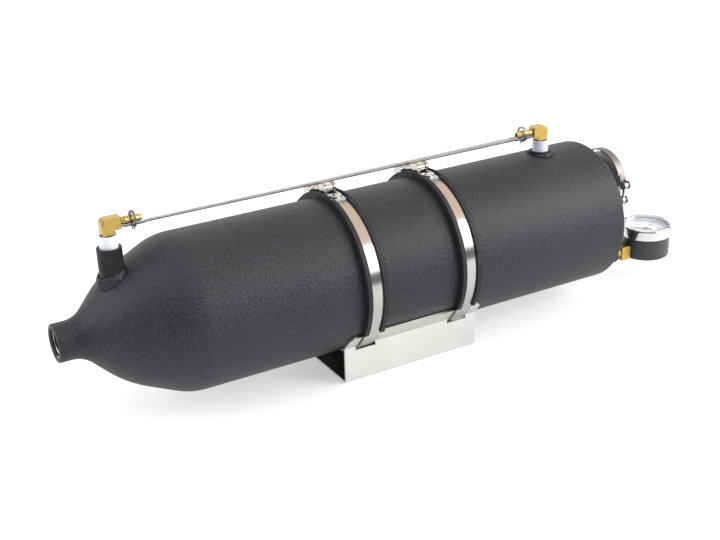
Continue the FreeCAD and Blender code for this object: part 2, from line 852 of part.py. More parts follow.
SWOLLEN_TUBE = S["tube_radius"] + S["barb_crest"] + S["thread_gap"] - S["tube_bore"]
TUBE_START = S["elbow_reach"] - S["elbow_side"] / 2 + S["barb_neck"] / 2


def sight_tube():
    """The clear tube, widened where it is pushed over the barbs."""
    length = S["neck_bung_x"] + S["end_bung_x"] - TUBE_START * 2
    body = new_body("SightTube", (TUBE_START - S["neck_bung_x"], 0, TUBE_HEIGHT), ALONG_TANK)
    grip = S["barb_length"] - S["barb_neck"] / 2 + 1
    wide = S["barb_crest"] + S["thread_gap"]
    points = [
        (wide, 0),
        (SWOLLEN_TUBE, 0),
        (SWOLLEN_TUBE, grip),
        (S["tube_radius"], grip + 2),
        (S["tube_radius"], length - grip - 2),
        (SWOLLEN_TUBE, length - grip),
        (SWOLLEN_TUBE, length),
        (wide, length),
        (wide, length - grip),
        (S["tube_bore"], length - grip - 2),
        (S["tube_bore"], grip + 2),
        (wide, grip),
    ]
    turn_feature(body, "Revolution", "TubeTurn", points)
    keep(body, "sight_tube")


# The wire's section has six sides, and its two turns are pressed a little into each other
WIRE_SIDES = 6
WIRE_OVERLAP = 0.85


def wire_clamp(name, label, across):
    """A spring wire clamp: two turns of wire side by side with two pinch tangs below."""
    wire = S["wire_radius"]
    ring = SWOLLEN_TUBE + wire + S["wire_gap"]
    pieces = []
    for count, side in enumerate((-1, 1)):
        shift = across + wire * side * WIRE_OVERLAP
        turn = new_body(f"{name}Turn{count}", (shift, 0, TUBE_HEIGHT), ALONG_TANK)
        turn_feature(turn, "Revolution", f"{name}Wire{count}", round_section(ring, 0, wire, WIRE_SIDES))
        lean = FreeCAD.Rotation(FreeCAD.Vector(1, 0, 0), 180 - side * S["wire_lean"].number)
        tang = DOCUMENT.addObject("Part::Prism", f"{name}Tang{count}")
        tang.Polygon = WIRE_SIDES
        bind(tang, "Circumradius", wire)
        bind(tang, "Height", S["wire_tang"])
        place(tang, (shift, 0, TUBE_HEIGHT - ring), lean)
        pieces.extend([turn, tang])
    keep(fused(name, pieces), label)


def bracket():
    """The folded bracket: base, two walls, two leaning flanges, slits for the bands, base holes."""
    half, sheet, angle = S["bracket_half"], S["sheet"], S["flange_angle"]
    near = S["tank_radius"] + S["base_gap"]
    far = near + sheet
    top = S["axis_height"]
    fold_out = (half - far * sine(angle)) / cosine(angle)
    fold_in = (half - sheet - near * sine(angle)) / cosine(angle)
    outer_fold = (half, top - far * cosine(angle) + fold_out * sine(angle))
    inner_fold = (half - sheet, top - near * cosine(angle) + fold_in * sine(angle))
    outer_tip = (far * sine(angle) + S["flange_tip"] * cosine(angle),
                 top - far * cosine(angle) + S["flange_tip"] * sine(angle))
    inner_tip = (near * sine(angle) + S["flange_tip"] * cosine(angle),
                 top - near * cosine(angle) + S["flange_tip"] * sine(angle))
    right = [(half, 0), outer_fold, outer_tip, inner_tip, inner_fold, (half - sheet, sheet)]
    left = [(-spot[0], spot[1]) for spot in reversed(right)]
    body = new_body("Bracket", (0, 0, 0))
    pad_feature(body, "FoldedSheet", "YZ_Plane", right + left, S["bracket_length"])
    round_bends(body, outer_fold, inner_fold)
    cut_slits(body)
    cut_base_holes(body)
    tip = number(inner_tip[1]) - 0.05
    round_edges(body, "FlangeCorners", S["flange_corner"], lambda edge, spot: (
        spot.z > tip - 2 and abs(abs(spot.x) - S["bracket_length"].number / 2) < 1e-3
        and abs(edge.Length - sheet.number) < 1e-3))
    keep(body, "mounting_bracket")


def round_bends(body, outer_fold, inner_fold):
    """Rounds each fold inside and outside, as a press brake leaves it."""
    half, sheet, inside = S["bracket_half"], S["sheet"], S["bend_radius"]
    outside = inside + sheet
    folds = [
        ("BaseBendsOut", (half, 0), outside),
        ("BaseBendsIn", (half - sheet, sheet), inside),
        ("FlangeBendsIn", outer_fold, inside),
        ("FlangeBendsOut", inner_fold, outside),
    ]
    for name, (across, height), radius in folds:
        round_edges(body, name, radius, lambda edge, spot: lies_along(edge, spot, across, height))


def lies_along(edge, spot, across, height):
    """Whether an edge runs along the bottle at a height and at a distance to either side."""
    return (straight_along(edge, 0) and abs(abs(spot.y) - number(across)) < 1e-3
            and abs(spot.z - number(height)) < 1e-3)


def cut_slits(body):
    """Cuts the slits at the folds, where the bands pass in under the bottle."""
    sketch = new_sketch(body, "XZ_Plane", "SlitOutlines")
    band = S["band_inner"] + S["band_thickness"] / 2
    wall = S["bracket_half"] - S["sheet"] / 2
    middle = S["axis_height"] - root(band * band - wall * wall)
    low = middle - S["slit_height"] / 2
    high = middle + S["slit_height"] / 2
    for sign in (-1, 1):
        centre = S["band_spacing"] * (0.5 * sign)
        draw_outline(sketch, box_corners((centre - S["slit_length"] / 2, low),
                                         (centre + S["slit_length"] / 2, high)))
    pocket_feature(body, "BandSlits", sketch, S["bracket_half"] * 3, midplane=True)


def cut_base_holes(body):
    """Drills the four mounting holes in the base."""
    sketch = new_sketch(body, "XY_Plane", "BaseHoleCircles")
    for along in (-0.5, 0.5):
        for across in (-0.5, 0.5):
            draw_circle(sketch, (S["hole_span_x"] * along, S["hole_span_y"] * across), S["hole_radius"])
    pocket_feature(body, "BaseHoles", sketch, S["sheet"] * 4, midplane=True)


def band_liner(name, label, across):
    """The rubber liner of a band: a channel whose lips hold the band's edges."""
    half = S["liner_width"] / 2
    inner = S["tank_radius"] + S["base_gap"]
    floor = inner + S["liner_floor"]
    groove = S["band_width"] / 2 + S["liner_gap"]
    ceiling = S["band_outer"] + S["liner_gap"]
    mouth = S["band_width"] / 2 - S["liner_lip"]
    right = [(inner, half), (S["liner_height"], half), (S["liner_height"], mouth),
             (ceiling, mouth), (ceiling, groove), (floor, groove)]
    points = right + [(radius, -height) for radius, height in reversed(right)]
    body = new_body(name, (across, 0, S["axis_height"]), ALONG_TANK)
    turn_feature(body, "Revolution", name + "Channel", points, sweep=S["liner_sweep"])
    clear_liner(body, name)
    keep(body, label)


def clear_liner(body, name):
    """Cuts the lips back under the band's two looped ends."""
    groove = S["band_width"] / 2 + S["liner_gap"]
    floor = S["tank_radius"] + S["base_gap"] + S["liner_floor"]
    sketch = new_sketch(body, "XZ_Plane", name + "ClearOutline")
    draw_outline(sketch, box_corners((floor, -groove), (S["liner_height"] + 2, groove)))
    feature = body.newObject("PartDesign::Groove", name + "Clear")
    feature.Profile = sketch
    feature.ReferenceAxis = (sketch, ["V_Axis"])
    reach = S["loop_rear"] + S["leg_sweep"] + 3
    feature.Type = "TwoAngles"
    bind(feature, "Angle", S["leg_sweep"] + 3 - S["loop_front"])
    bind(feature, "Angle2", reach)


def band_ring(name, centre, radii, width, start, sweep):
    """A sector of a strap's ring. centre: place along the bottle and height; radii: inner, outer."""
    across, height = centre
    at = (across - width / 2, 0, height)
    turn = ALONG_TANK * FreeCAD.Rotation(FreeCAD.Vector(0, 0, 1), number(start))
    solid = cylinder(name + "Outer", radii[1], width, at, turn, sweep)
    return less(name, solid, cylinder(name + "Inner", radii[0], width, at, turn))


def band_leg(name, centre, radii, width, angle, sweep, side):
    """The strap's end folded back from a loop, with its tip rounded to half its width."""
    tip = width / 2 / radii[1] * math.degrees(1)
    body = sweep - tip
    near, far = (angle, angle + body) if side > 0 else (angle - body, angle - sweep)
    straight = band_ring(name + "Body", centre, radii, width, near, body)
    corners = band_ring(name + "Corners", centre, radii, width, far, tip)
    aim = math.radians(number(angle + body * side))
    turn = FreeCAD.Rotation(FreeCAD.Vector(0, 0, 1), FreeCAD.Vector(0, -math.sin(aim), math.cos(aim)))
    post = cylinder(name + "Post", width / 2, radii[1] * 2, (centre[0], 0, centre[1]), turn)
    return fused(name, [straight, shared(name + "Tip", corners, post)])


def looped_band(name, centre, sizes):
    """A strap with both ends narrowed and looped round pins. centre: place along the bottle and
    height. sizes: inner, thickness, width, loop width, pin, first, second, leg, neck, slot, where
    first and second are the loops' angles from the top towards the front."""
    inner, thickness, width, loop, pin, first, second, leg, neck, slot = sizes
    across, height = centre
    outer = inner + thickness
    strap, fold_radii = (inner, outer), (outer, outer + thickness)
    pieces = [band_ring(name + "Strap", centre, strap, width, first + neck,
                        360 - first + second - neck * 2)]
    holes = []
    radius = loop_radius(outer, pin)
    for part, angle, side in ((name + "First", first, 1), (name + "Second", second, -1)):
        spot = (across - loop / 2, -radius * sine(angle), height + radius * cosine(angle))
        wall = cylinder(part + "Wall", pin + thickness, loop, spot, ALONG_TANK)
        folded = band_leg(part + "Leg", centre, fold_radii, loop, angle, leg, side)
        fold = fused(part + "Fold", [wall, folded])
        window = loop_window(part, across, height, angle, outer, pin, slot, side)
        neck_start = angle if side > 0 else angle - neck
        pieces.append(band_ring(part + "Neck", centre, strap, loop, neck_start, neck))
        pieces.append(less(part + "Ears", fold, window))
        holes.append(cylinder(part + "Hole", pin, loop, spot, ALONG_TANK))
    return less(name, fused(name + "Whole", pieces), fused(name + "Holes", holes))


# A loop's window, in radii of its pin: how far it reaches behind the loop, ahead of it and outwards
WINDOW_BEHIND = 1.7
WINDOW_AHEAD = 2
WINDOW_RISE = 3


def loop_window(part, across, height, angle, outer, pin, slot, side):
    """The window through a loop and the near end of its leg, which lets the bolt swing."""
    turn = ALONG_TANK * FreeCAD.Rotation(FreeCAD.Vector(0, 0, 1), number(angle))
    behind, ahead = pin * WINDOW_BEHIND, pin * WINDOW_AHEAD
    start = -behind if side < 0 else -ahead
    corner = turn.multVec(FreeCAD.Vector(number(outer + S["window_slack"]), number(start), 0))
    window = block(part + "Window", (pin * WINDOW_RISE, behind + ahead, slot), (0, 0, 0), turn)
    origin = FreeCAD.Vector(number(across - slot / 2), 0, number(height))
    window.Placement = FreeCAD.Placement(origin + corner, turn)
    return window


def loop_radius(outer, pin):
    """How far a loop's pin lies from the clamp's axis, a hair outside the strap."""
    return outer + pin + S["loop_slack"]


def clamp_line(outer, pin, first, second, height):
    """The line of a clamp's bolt: the first loop's centre, the unit vector and the distance."""
    radius = number(loop_radius(outer, pin))
    ends = []
    for angle in (first, second):
        turned = math.radians(number(angle))
        ends.append(FreeCAD.Vector(0, -radius * math.sin(turned), number(height) + radius * math.cos(turned)))
    span = ends[1] - ends[0]
    return ends[0], FreeCAD.Vector(span).normalize(), span.Length


# A bolt's tapered tip, in radii of its shank: how long it is and the radius that it ends with
TIP_LENGTH = 0.4
TIP_END = 0.75
# A nut's crown: how far its cone widens for each millimetre, and its end's part of the flats
CROWN_SLOPE = 0.6
CROWN_END = 0.98


def bolt_solid(width, pin, shank, length):
    """A T-bolt in its own frame: a crosswise round head and a threaded shank along +Z."""
    head = Part.makeCylinder(pin, width, FreeCAD.Vector(-width / 2, 0, 0), FreeCAD.Vector(1, 0, 0))
    stem = Part.makeCylinder(shank, length, FreeCAD.Vector(0, 0, 0), FreeCAD.Vector(0, 0, 1))
    chamfer = Part.makeCone(shank, shank * TIP_END, shank * TIP_LENGTH, FreeCAD.Vector(0, 0, length))
    return head.fuse([stem, chamfer]).removeSplitter()


def trunnion_solid(width, pin, hole, boss, reach):
    """A trunnion in its own frame: a crosswise pin with a bored boss that carries the nut."""
    bar = Part.makeCylinder(pin, width, FreeCAD.Vector(-width / 2, 0, 0), FreeCAD.Vector(1, 0, 0))
    sleeve = Part.makeCylinder(boss, reach)
    bore = Part.makeCylinder(hole, pin * 4, FreeCAD.Vector(0, 0, -pin * 2))
    return bar.fuse(sleeve).cut(bore)


def nut_solid(flats, height, hole):
    """A hexagon nut in its own frame, with chamfered corners."""
    radius = flats / math.sqrt(3)
    corners = [FreeCAD.Vector(radius * math.cos(math.radians(60 * count)),
                              radius * math.sin(math.radians(60 * count)), 0) for count in range(6)]
    hexagon = Part.Face(Part.makePolygon(corners + corners[:1])).extrude(FreeCAD.Vector(0, 0, height))
    cone = Part.makeCone(radius + height * CROWN_SLOPE, flats / 2 * CROWN_END, height)
    bore = Part.makeCylinder(hole, height * 2, FreeCAD.Vector(0, 0, -height / 2))
    return hexagon.common(cone).cut(bore)


def along_line(shape, across, line, distance):
    """A shape moved from its own frame to a distance along a clamp's bolt line."""
    start, direction, length = line
    turn = FreeCAD.Rotation(FreeCAD.Vector(1, 0, 0), FreeCAD.Vector(0, 0, 0), direction, "ZXY")
    moved = shape.copy()
    spot = start + direction * distance + FreeCAD.Vector(across, 0, 0)
    moved.Placement = FreeCAD.Placement(spot, turn)
    return moved


def clamp_hardware():
    """The T-bolts, trunnions and nuts of the two bands and of the V-band clamp."""
    band = clamp_line(S["band_outer"], S["loop_pin"], -S["loop_front"], -S["loop_rear"],
                      S["axis_height"])
    clasp_outer = S["clasp_inner"] + S["clasp_thickness"]
    clasp = clamp_line(clasp_outer, S["clasp_pin"],
                       S["clasp_angle"] - S["clasp_half"], S["clasp_angle"] + S["clasp_half"], PORT_CENTRE)
    half = S["band_spacing"].number / 2
    clasp_x = VEE_CENTRE.number
    sets = [
        ("band", band, (-half, half), "loop_width", "loop_pin", "bolt_radius", "loop_slot",
         "band_thickness", "nut_flats", "nut_height"),
        ("v_band", clasp, (clasp_x,), "clasp_loop", "clasp_pin", "clasp_bolt", "clasp_slot",
         "clasp_thickness", "clasp_nut_flats", "clasp_nut_height"),
    ]
    for prefix, line, places, *names in sets:
        width, pin, shank, slot, thickness, flats, height = [S[name].number for name in names]
        gap = S["pin_gap"].number
        reach = pin + thickness + S["boss_gap"].number
        length = line[2] + reach + height + shank
        boss = slot / 2 - S["boss_gap"].number
        shapes = {
            "t_bolt": (bolt_solid(width, pin - gap, shank, length), 0),
            "trunnion": (trunnion_solid(width, pin - gap, shank + gap, boss, reach), line[2]),
            "nut": (nut_solid(flats, height, shank + gap), line[2] + reach),
        }
        for kind, (shape, distance) in shapes.items():
            solids = [along_line(shape, across, line, distance) for across in places]
            feature = DOCUMENT.addObject("Part::Feature", prefix + "_" + kind)
            feature.Shape = Part.makeCompound(solids) if len(solids) > 1 else solids[0]
            keep(feature, prefix + "_" + kind + ("s" if len(solids) > 1 else ""))


def bands():
    """Both bands with their liners."""
    sizes = (S["band_inner"], S["band_thickness"], S["band_width"], S["loop_width"], S["loop_pin"],
             -S["loop_front"], -S["loop_rear"], S["leg_sweep"], S["loop_neck"], S["loop_slot"])
    for name, label, sign in (("NeckBand", "neck_band", -0.5), ("GaugeBand", "gauge_band", 0.5)):
        across = S["band_spacing"] * sign
        keep(looped_band(name, (across, S["axis_height"]), sizes), label)
        band_liner(name + "Liner", label + "_liner", across)


# The filler port. Its flange face is port_reach from the plate and the cap lies on it.
PORT_FACE = PLATE_FACE + S["port_reach"]
FLANGE_THICKNESS = S["flange_edge"] + S["flange_taper"]
CAP_FACE = PORT_FACE + S["face_gap"] + FLANGE_THICKNESS
VEE_CENTRE = PORT_FACE + S["face_gap"] / 2


def port_neck():
    """The port's tube with a tapered flange, welded through the end plate."""
    depth = S["plate_thickness"]
    length = S["port_reach"] + depth
    body = new_body("PortNeck", (PLATE_FACE - depth, 0, PORT_CENTRE), ALONG_TANK)
    points = [
        (S["port_bore"], 0),
        (S["port_tube"], 0),
        (S["port_tube"], length - FLANGE_THICKNESS),
        (S["flange_radius"], length - S["flange_edge"]),
        (S["flange_radius"], length),
        (S["port_bore"], length),
    ]
    turn_feature(body, "Revolution", "NeckTurn", points)
    keep(body, "port_neck")


def port_cap():
    """The port's cap: a tapered flange, a spigot, a seal groove and a tapped hole for the valve."""
    body = new_body("PortCap", (PORT_FACE + S["face_gap"], 0, PORT_CENTRE), ALONG_TANK)
    spigot = S["port_bore"] - S["spigot_gap"]
    depth = S["seal_section"] * 2 - S["face_gap"]
    low = S["seal_radius"] - S["seal_section"] - S["seal_gap"]
    high = S["seal_radius"] + S["seal_section"] + S["seal_gap"]
    points = [
        (S["valve_thread"], -S["spigot_length"]),
        (spigot, -S["spigot_length"]),
        (spigot, 0),
        (low, 0),
        (low, depth),
        (high, depth),
        (high, 0),
        (S["flange_radius"], 0),
        (S["flange_radius"], S["flange_edge"]),
        (S["port_tube"], FLANGE_THICKNESS),
        (S["valve_thread"], FLANGE_THICKNESS),
    ]
    turn_feature(body, "Revolution", "CapTurn", points)
    keep(body, "port_cap")


# The seal ring's section has eight sides
SEAL_SIDES = 8


def port_seal():
    """The port's seal ring, squeezed between the two faces."""
    centre = S["seal_section"]
    body = new_body("PortSeal", (PORT_FACE, 0, PORT_CENTRE), ALONG_TANK)
    turn_feature(body, "Revolution", "SealTurn", round_section(S["seal_radius"], centre, centre, SEAL_SIDES))
    keep(body, "port_seal_ring")


def round_section(radius, height, reach, sides):
    """A polygon for the section of a thin ring, as radii and heights."""
    points = []
    for count in range(sides):
        angle = math.radians(360 * (count + 0.5) / sides)
        points.append((radius + reach * math.cos(angle), height + reach * math.sin(angle)))
    return points


def vee_segments():
    """Three V-section segments that wedge the two flanges together."""
    outer = S["clasp_inner"] - S["pin_gap"]
    slope = S["flange_taper"] / S["flange_lip"]
    bottom = S["vee_rim"]
    rim = S["flange_edge"] + S["face_gap"] / 2 + S["vee_gap"]
    mouth = rim + (bottom - S["vee_inner"]) * slope
    spine = rim + S["vee_leg"]
    left = [(outer, -spine), (bottom, -spine), (S["vee_inner"], -mouth - S["vee_leg"]),
            (S["vee_inner"], -mouth), (bottom, -rim)]
    points = left + [(radius, -height) for radius, height in reversed(left)]
    segments = []
    spread = S["vee_spread"].number
    for count, shift in enumerate((-spread, spread, 180)):
        name = f"VeeSegment{count}"
        angle = S["clasp_angle"].number + shift
        turn = ALONG_TANK * FreeCAD.Rotation(FreeCAD.Vector(0, 0, 1), angle)
        body = new_body(name, (VEE_CENTRE, 0, PORT_CENTRE), turn)
        turn_feature(body, "Revolution", name + "Turn", points, sweep=S["vee_sweep"])
        segments.append(body)
    keep(grouped("VeeSegments", segments), "v_band_segments")


def vee_strap():
    """The V-band's outer strap with its two looped ends."""
    sizes = (S["clasp_inner"], S["clasp_thickness"], S["clasp_width"], S["clasp_loop"], S["clasp_pin"],
             S["clasp_angle"] + S["clasp_half"], S["clasp_angle"] - S["clasp_half"],
             S["clasp_leg"], S["clasp_neck"], S["clasp_slot"])
    keep(looped_band("VeeStrap", (VEE_CENTRE, PORT_CENTRE), sizes), "v_band_strap")


def hexagon_points(flats):
    """The corners of a hexagon from its width across flats."""
    radius = flats / math.sqrt(3)
    return [(radius * math.cos(math.radians(60 * count)), radius * math.sin(math.radians(60 * count)))
            for count in range(6)]


def air_valve():
    """The air valve in the port cap: body, core, sprung pin and dust cap."""
    at = (CAP_FACE, 0, PORT_CENTRE)
    hexagon, stem = S["valve_hex_height"], S["valve_stem_length"]
    body = new_body("ValveBody", at, ALONG_TANK)
    pad_feature(body, "ValveHex", "XY_Plane", hexagon_points(S["valve_hex"]), hexagon, midplane=False)
    points = [
        (S["valve_bore"], -FLANGE_THICKNESS - S["valve_reach"]),
        (S["valve_thread"] - S["thread_gap"], -FLANGE_THICKNESS - S["valve_reach"]),
        (S["valve_thread"] - S["thread_gap"], hexagon),
        (S["valve_stem"], hexagon),
        (S["valve_stem"], hexagon + stem - S["valve_bevel"]),
        (S["valve_stem"] - S["valve_bevel"], hexagon + stem),
        (S["valve_bore"], hexagon + stem),
    ]
    turn_feature(body, "Revolution", "ValveStem", points)
    bore = new_sketch(body, "XY_Plane", "ValveBoreCircle")
    draw_circle(bore, (0, 0), S["valve_bore"])
    pocket_feature(body, "ValveBore", bore, hexagon * 3, midplane=True)
    keep(body, "air_valve_body")
    valve_insides(hexagon + stem)
    valve_cap(hexagon, stem)


def valve_cap(hexagon, stem):
    """The valve's dust cap, a little off the hexagon."""
    length = stem + S["cap_end"] + S["cap_room"]
    cap = new_body("ValveCap", (CAP_FACE + hexagon + S["cap_lift"], 0, PORT_CENTRE), ALONG_TANK)
    inner, radius, bevel = S["valve_stem"] + S["cap_gap"], S["cap_radius"], S["cap_bevel"]
    outline = [(inner, 0), (radius, 0), (radius, length - bevel), (radius - bevel, length),
               (0, length), (0, length - S["cap_end"]), (inner, length - S["cap_end"])]
    turn_feature(cap, "Revolution", "ValveCapTurn", outline)
    keep(cap, "air_valve_cap")


def valve_insides(mouth):
    """The valve's core sleeve and the pin that opens it."""
    top = mouth - S["core_depth"]
    core = new_body("ValveCore", (CAP_FACE + top - S["core_length"], 0, PORT_CENTRE), ALONG_TANK)
    points = box_corners((S["pin_bore"], 0), (S["core_radius"], S["core_length"]))
    turn_feature(core, "Revolution", "ValveCoreTurn", points)
    keep(core, "air_valve_core")
    pin = new_body("ValvePin", (CAP_FACE + top - S["core_length"], 0, PORT_CENTRE), ALONG_TANK)
    head = S["pin_radius"] + S["pin_head"]
    reach = S["pin_travel"] + S["pin_slack"]
    under = -S["pin_gap"]
    outline = [(0, -reach), (head, -reach), (head, under), (S["pin_radius"], under),
               (S["pin_radius"], S["core_length"] + reach), (0, S["core_length"] + reach)]
    turn_feature(pin, "Revolution", "ValvePinTurn", outline)
    keep(pin, "air_valve_pin")


def gauge_bung():
    """The bung that the gauge screws into, welded through the end plate."""
    depth = S["plate_thickness"]
    body = new_body("GaugeBung", (PLATE_FACE - depth, -S["gauge_y"], GAUGE_STEM_HEIGHT), ALONG_TANK)
    length = S["gauge_bung_length"] + depth
    bore = S["thread_radius"] + S["thread_gap"]
    points = [
        (bore, 0),
        (S["gauge_bung_radius"], 0),
        (S["gauge_bung_radius"], length - S["bung_bevel"]),
        (S["gauge_bung_radius"] - S["bung_bevel"], length),
        (bore, length),
    ]
    turn_feature(body, "Revolution", "GaugeBungTurn", points)
    keep(body, "gauge_bung")


GAUGE_BASE = GAUGE_STEM_HEIGHT - S["stem_height"]
GAUGE_AT = (S["gauge_x"], -S["gauge_y"], GAUGE_BASE)
LENS_TOP = S["case_height"] + S["bezel_height"] - S["bezel_lip"]
DIAL_TOP = LENS_TOP - S["dial_drop"]
LENS_RADIUS = S["case_radius"] - S["lens_inset"]


def gauge_case():
    """The gauge's round case with a rounded back edge and a square notch for the stem."""
    body = new_body("GaugeCase", GAUGE_AT)
    inner = S["case_inner"]
    edge = S["case_edge"]
    points = [(0, 0), (S["case_radius"] - edge, 0), (S["case_radius"], edge),
              (S["case_radius"], S["case_height"]), (inner, S["case_height"]),
              (inner, S["case_wall"]), (0, S["case_wall"])]
    turn_feature(body, "Revolution", "CaseTurn", points, {1: (edge, False)})
    notch = new_sketch(body, "YZ_Plane", "StemNotchOutline")
    half = S["socket_width"] / 2 + S["lens_gap"]
    draw_outline(notch, box_corners((-half, S["stem_height"] - half), (half, S["stem_height"] + half)))
    pocket_feature(body, "StemNotch", notch, S["case_radius"] + 2, backwards=False)
    keep(body, "gauge_case")


def gauge_bezel():
    """The chromed bezel: a skirt over the case, a rounded rim and a lip over the lens."""
    body = new_body("GaugeBezel", (S["gauge_x"], -S["gauge_y"], GAUGE_BASE + S["case_height"]))
    top = S["bezel_height"]
    edge = S["bezel_edge"]
    inner = S["case_inner"]
    seat = inner - S["dial_seat"]
    dial = DIAL_TOP - S["dial_thickness"] - S["case_height"]
    lens = LENS_TOP - S["case_height"]
    lens_seat = lens - S["lens_thickness"]
    points = [
        (seat, 0),
        (S["bezel_radius"], 0),
        (S["bezel_radius"], top - edge),
        (S["bezel_radius"] - edge, top),
        (S["bezel_window"] + S["bezel_slope"], top),
        (S["bezel_window"], top - S["bezel_slope"]),
        (S["bezel_window"], lens),
        (LENS_RADIUS + S["lens_gap"], lens),
        (LENS_RADIUS + S["lens_gap"], lens_seat),
        (inner, lens_seat),
        (inner, dial),
        (seat, dial),
    ]
    turn_feature(body, "Revolution", "BezelTurn", points, {2: (edge, False)})
    keep(body, "gauge_bezel")


def gauge_face():
    """The clear lens and the printed dial plate with a hole for the arbor and a stop pin."""
    lens = new_body("GaugeLens", (S["gauge_x"], -S["gauge_y"], GAUGE_BASE + LENS_TOP - S["lens_thickness"]))
    turn_feature(lens, "Revolution", "LensTurn", box_corners((0, 0), (LENS_RADIUS, S["lens_thickness"])))
    keep(lens, "gauge_lens")
    dial = new_body("GaugeDial", (S["gauge_x"], -S["gauge_y"], GAUGE_BASE + DIAL_TOP - S["dial_thickness"]))
    edge = S["case_inner"] - S["lens_gap"]
    points = box_corners((S["arbor_radius"] + S["dial_hole_gap"], 0), (edge, S["dial_thickness"]))
    turn_feature(dial, "Revolution", "DialTurn", points)
    keep(dial, "gauge_dial")


def gauge_pointer():
    """The pointer, which lies at zero, and the arbor that carries it."""
    turn = FreeCAD.Rotation(FreeCAD.Vector(0, 0, 1), 135)
    lift = GAUGE_BASE + DIAL_TOP + S["pointer_lift"]
    body = new_body("GaugePointer", (S["gauge_x"], -S["gauge_y"], lift), turn)
    half = S["pointer_width"] / 2
    tip = S["pointer_tip"]
    points = [(-S["pointer_tail"], -half), (0, -half), (S["pointer_length"], -tip),
              (S["pointer_length"], tip), (0, half), (-S["pointer_tail"], half)]
    pad_feature(body, "PointerBlade", "XY_Plane", points, S["pointer_thickness"], midplane=False)
    hub = S["pointer_thickness"] + S["hub_rise"]
    shaft = S["arbor_radius"]
    turn_feature(body, "Revolution", "PointerHub", box_corners((0, 0), (S["pointer_hub"], hub)))
    hole = new_sketch(body, "XY_Plane", "PointerHoleCircle")
    draw_circle(hole, (0, 0), shaft)
    pocket_feature(body, "PointerHole", hole, hub * 4, midplane=True)
    keep(body, "gauge_pointer")
    foot = S["movement_low"] + S["movement_plate"] / 2 + S["arbor_gap"]
    arbor = new_body("GaugeArbor", (S["gauge_x"], -S["gauge_y"], GAUGE_BASE + foot))
    length = DIAL_TOP + S["pointer_lift"] + hub + S["arbor_rise"] - foot
    turn_feature(arbor, "Revolution", "ArborTurn", box_corners((0, 0), (shaft, length)))
    keep(arbor, "gauge_arbor")


def gauge_stem():
    """The brass stem: pipe thread, square flats, and the socket block inside the case."""
    start = S["stem_start"]
    body = new_body("GaugeStem", (S["gauge_x"], -S["gauge_y"], GAUGE_STEM_HEIGHT), TOWARDS_NECK)
    half = S["stem_block"] / 2
    narrow = S["socket_width"] / 2
    inside = start - S["socket_depth"]
    block_end = start + S["stem_length"]
    pad_feature(body, "StemSocket", "XZ_Plane", box_corners((-narrow, inside), (narrow, start + 1)),
                narrow * 2)
    pad_feature(body, "StemFlats", "XZ_Plane", box_corners((-half, start), (half, block_end)),
                S["stem_block"])
    thread = S["thread_radius"]
    length = S["stem_thread_length"]
    root_radius = thread - S["stem_relief"]
    bevel = S["thread_bevel"]
    points = [(0, block_end - 1), (root_radius, block_end - 1), (root_radius, block_end),
              (thread, block_end + 1), (thread, block_end + length - bevel),
              (thread - bevel, block_end + length), (0, block_end + length)]
    turn_feature(body, "Revolution", "StemThread", points)
    bore = new_sketch(body, "XZ_Plane", "StemBoreOutline")
    draw_outline(bore, box_corners((0, inside + S["stem_bore_depth"]),
                                   (S["stem_bore"], block_end + length + 1)))
    groove = body.newObject("PartDesign::Groove", "StemBore")
    groove.Profile = bore
    groove.ReferenceAxis = (bore, ["V_Axis"])
    groove.Angle = 360
    slot = new_sketch(body, "XZ_Plane", "TubeSlotOutline")
    thick = S["bourdon_thickness"] / 2 + S["thread_gap"]
    deep = S["bourdon_depth"] / 2 + S["thread_gap"]
    ring = S["bourdon_radius"]
    draw_outline(slot, box_corners((-deep, ring - thick), (deep, ring + thick)))
    seat = body.newObject("PartDesign::Groove", "TubeSlot")
    seat.Profile = slot
    seat.ReferenceAxis = (slot, ["H_Axis"])
    seat.Angle = 30
    keep(body, "gauge_stem")


def bourdon_tube():
    """The flattened spring tube bent in an arc, closed at its free end."""
    turn = FreeCAD.Rotation(FreeCAD.Vector(0, 0, 1), 180)
    body = new_body("BourdonTube", (S["gauge_x"], -S["gauge_y"], GAUGE_STEM_HEIGHT), turn)
    thick, deep, wall = S["bourdon_thickness"] / 2, S["bourdon_depth"] / 2, S["bourdon_wall"]
    ring = S["bourdon_radius"]
    points = box_corners((ring - thick, -deep), (ring + thick, deep))
    outer = turn_feature(body, "Revolution", "BourdonArc", points)
    outer.Midplane = False
    bind(outer, "Angle", S["bourdon_sweep"])
    sketch = new_sketch(body, "XZ_Plane", "BourdonHollowOutline")
    draw_outline(sketch, box_corners((ring - thick + wall, wall - deep), (ring + thick - wall, deep - wall)))
    DOCUMENT.recompute()
    hollow = body.newObject("PartDesign::Groove", "BourdonHollow")
    hollow.Profile = sketch
    hollow.ReferenceAxis = (sketch, ["V_Axis"])
    bind(hollow, "Angle", S["bourdon_sweep"] - 3)
    keep(body, "bourdon_tube")


def movement_frame():
    """The movement's two brass plates and the pillars between them."""
    at = (S["gauge_x"], -S["gauge_y"], GAUGE_BASE)
    length, width, plate = S["movement_length"], S["movement_width"], S["movement_plate"]
    plates = []
    for name, low in (("LowPlate", S["movement_low"]), ("HighPlate", S["movement_high"])):
        solid = block(name, (length, width, plate),
                      (at[0] - length / 2, at[1] - width / 2, at[2] + low))
        plates.append(solid)
    for count, side in enumerate((-1, 1)):
        spot = (at[0] + (length / 2 - S["pillar_inset"]) * side, at[1], at[2] + S["movement_low"])
        plates.append(cylinder(f"Pillar{count}", S["pillar_radius"],
                               S["movement_high"] - S["movement_low"], spot))
    body = fused("MovementPlates", plates)
    bore = cylinder("ArborBore", S["arbor_radius"] + S["arbor_gap"], S["movement_high"],
                    (at[0], at[1], at[2] + S["movement_low"] + plate / 2))
    keep(less("MovementFrame", body, bore), "gauge_movement")


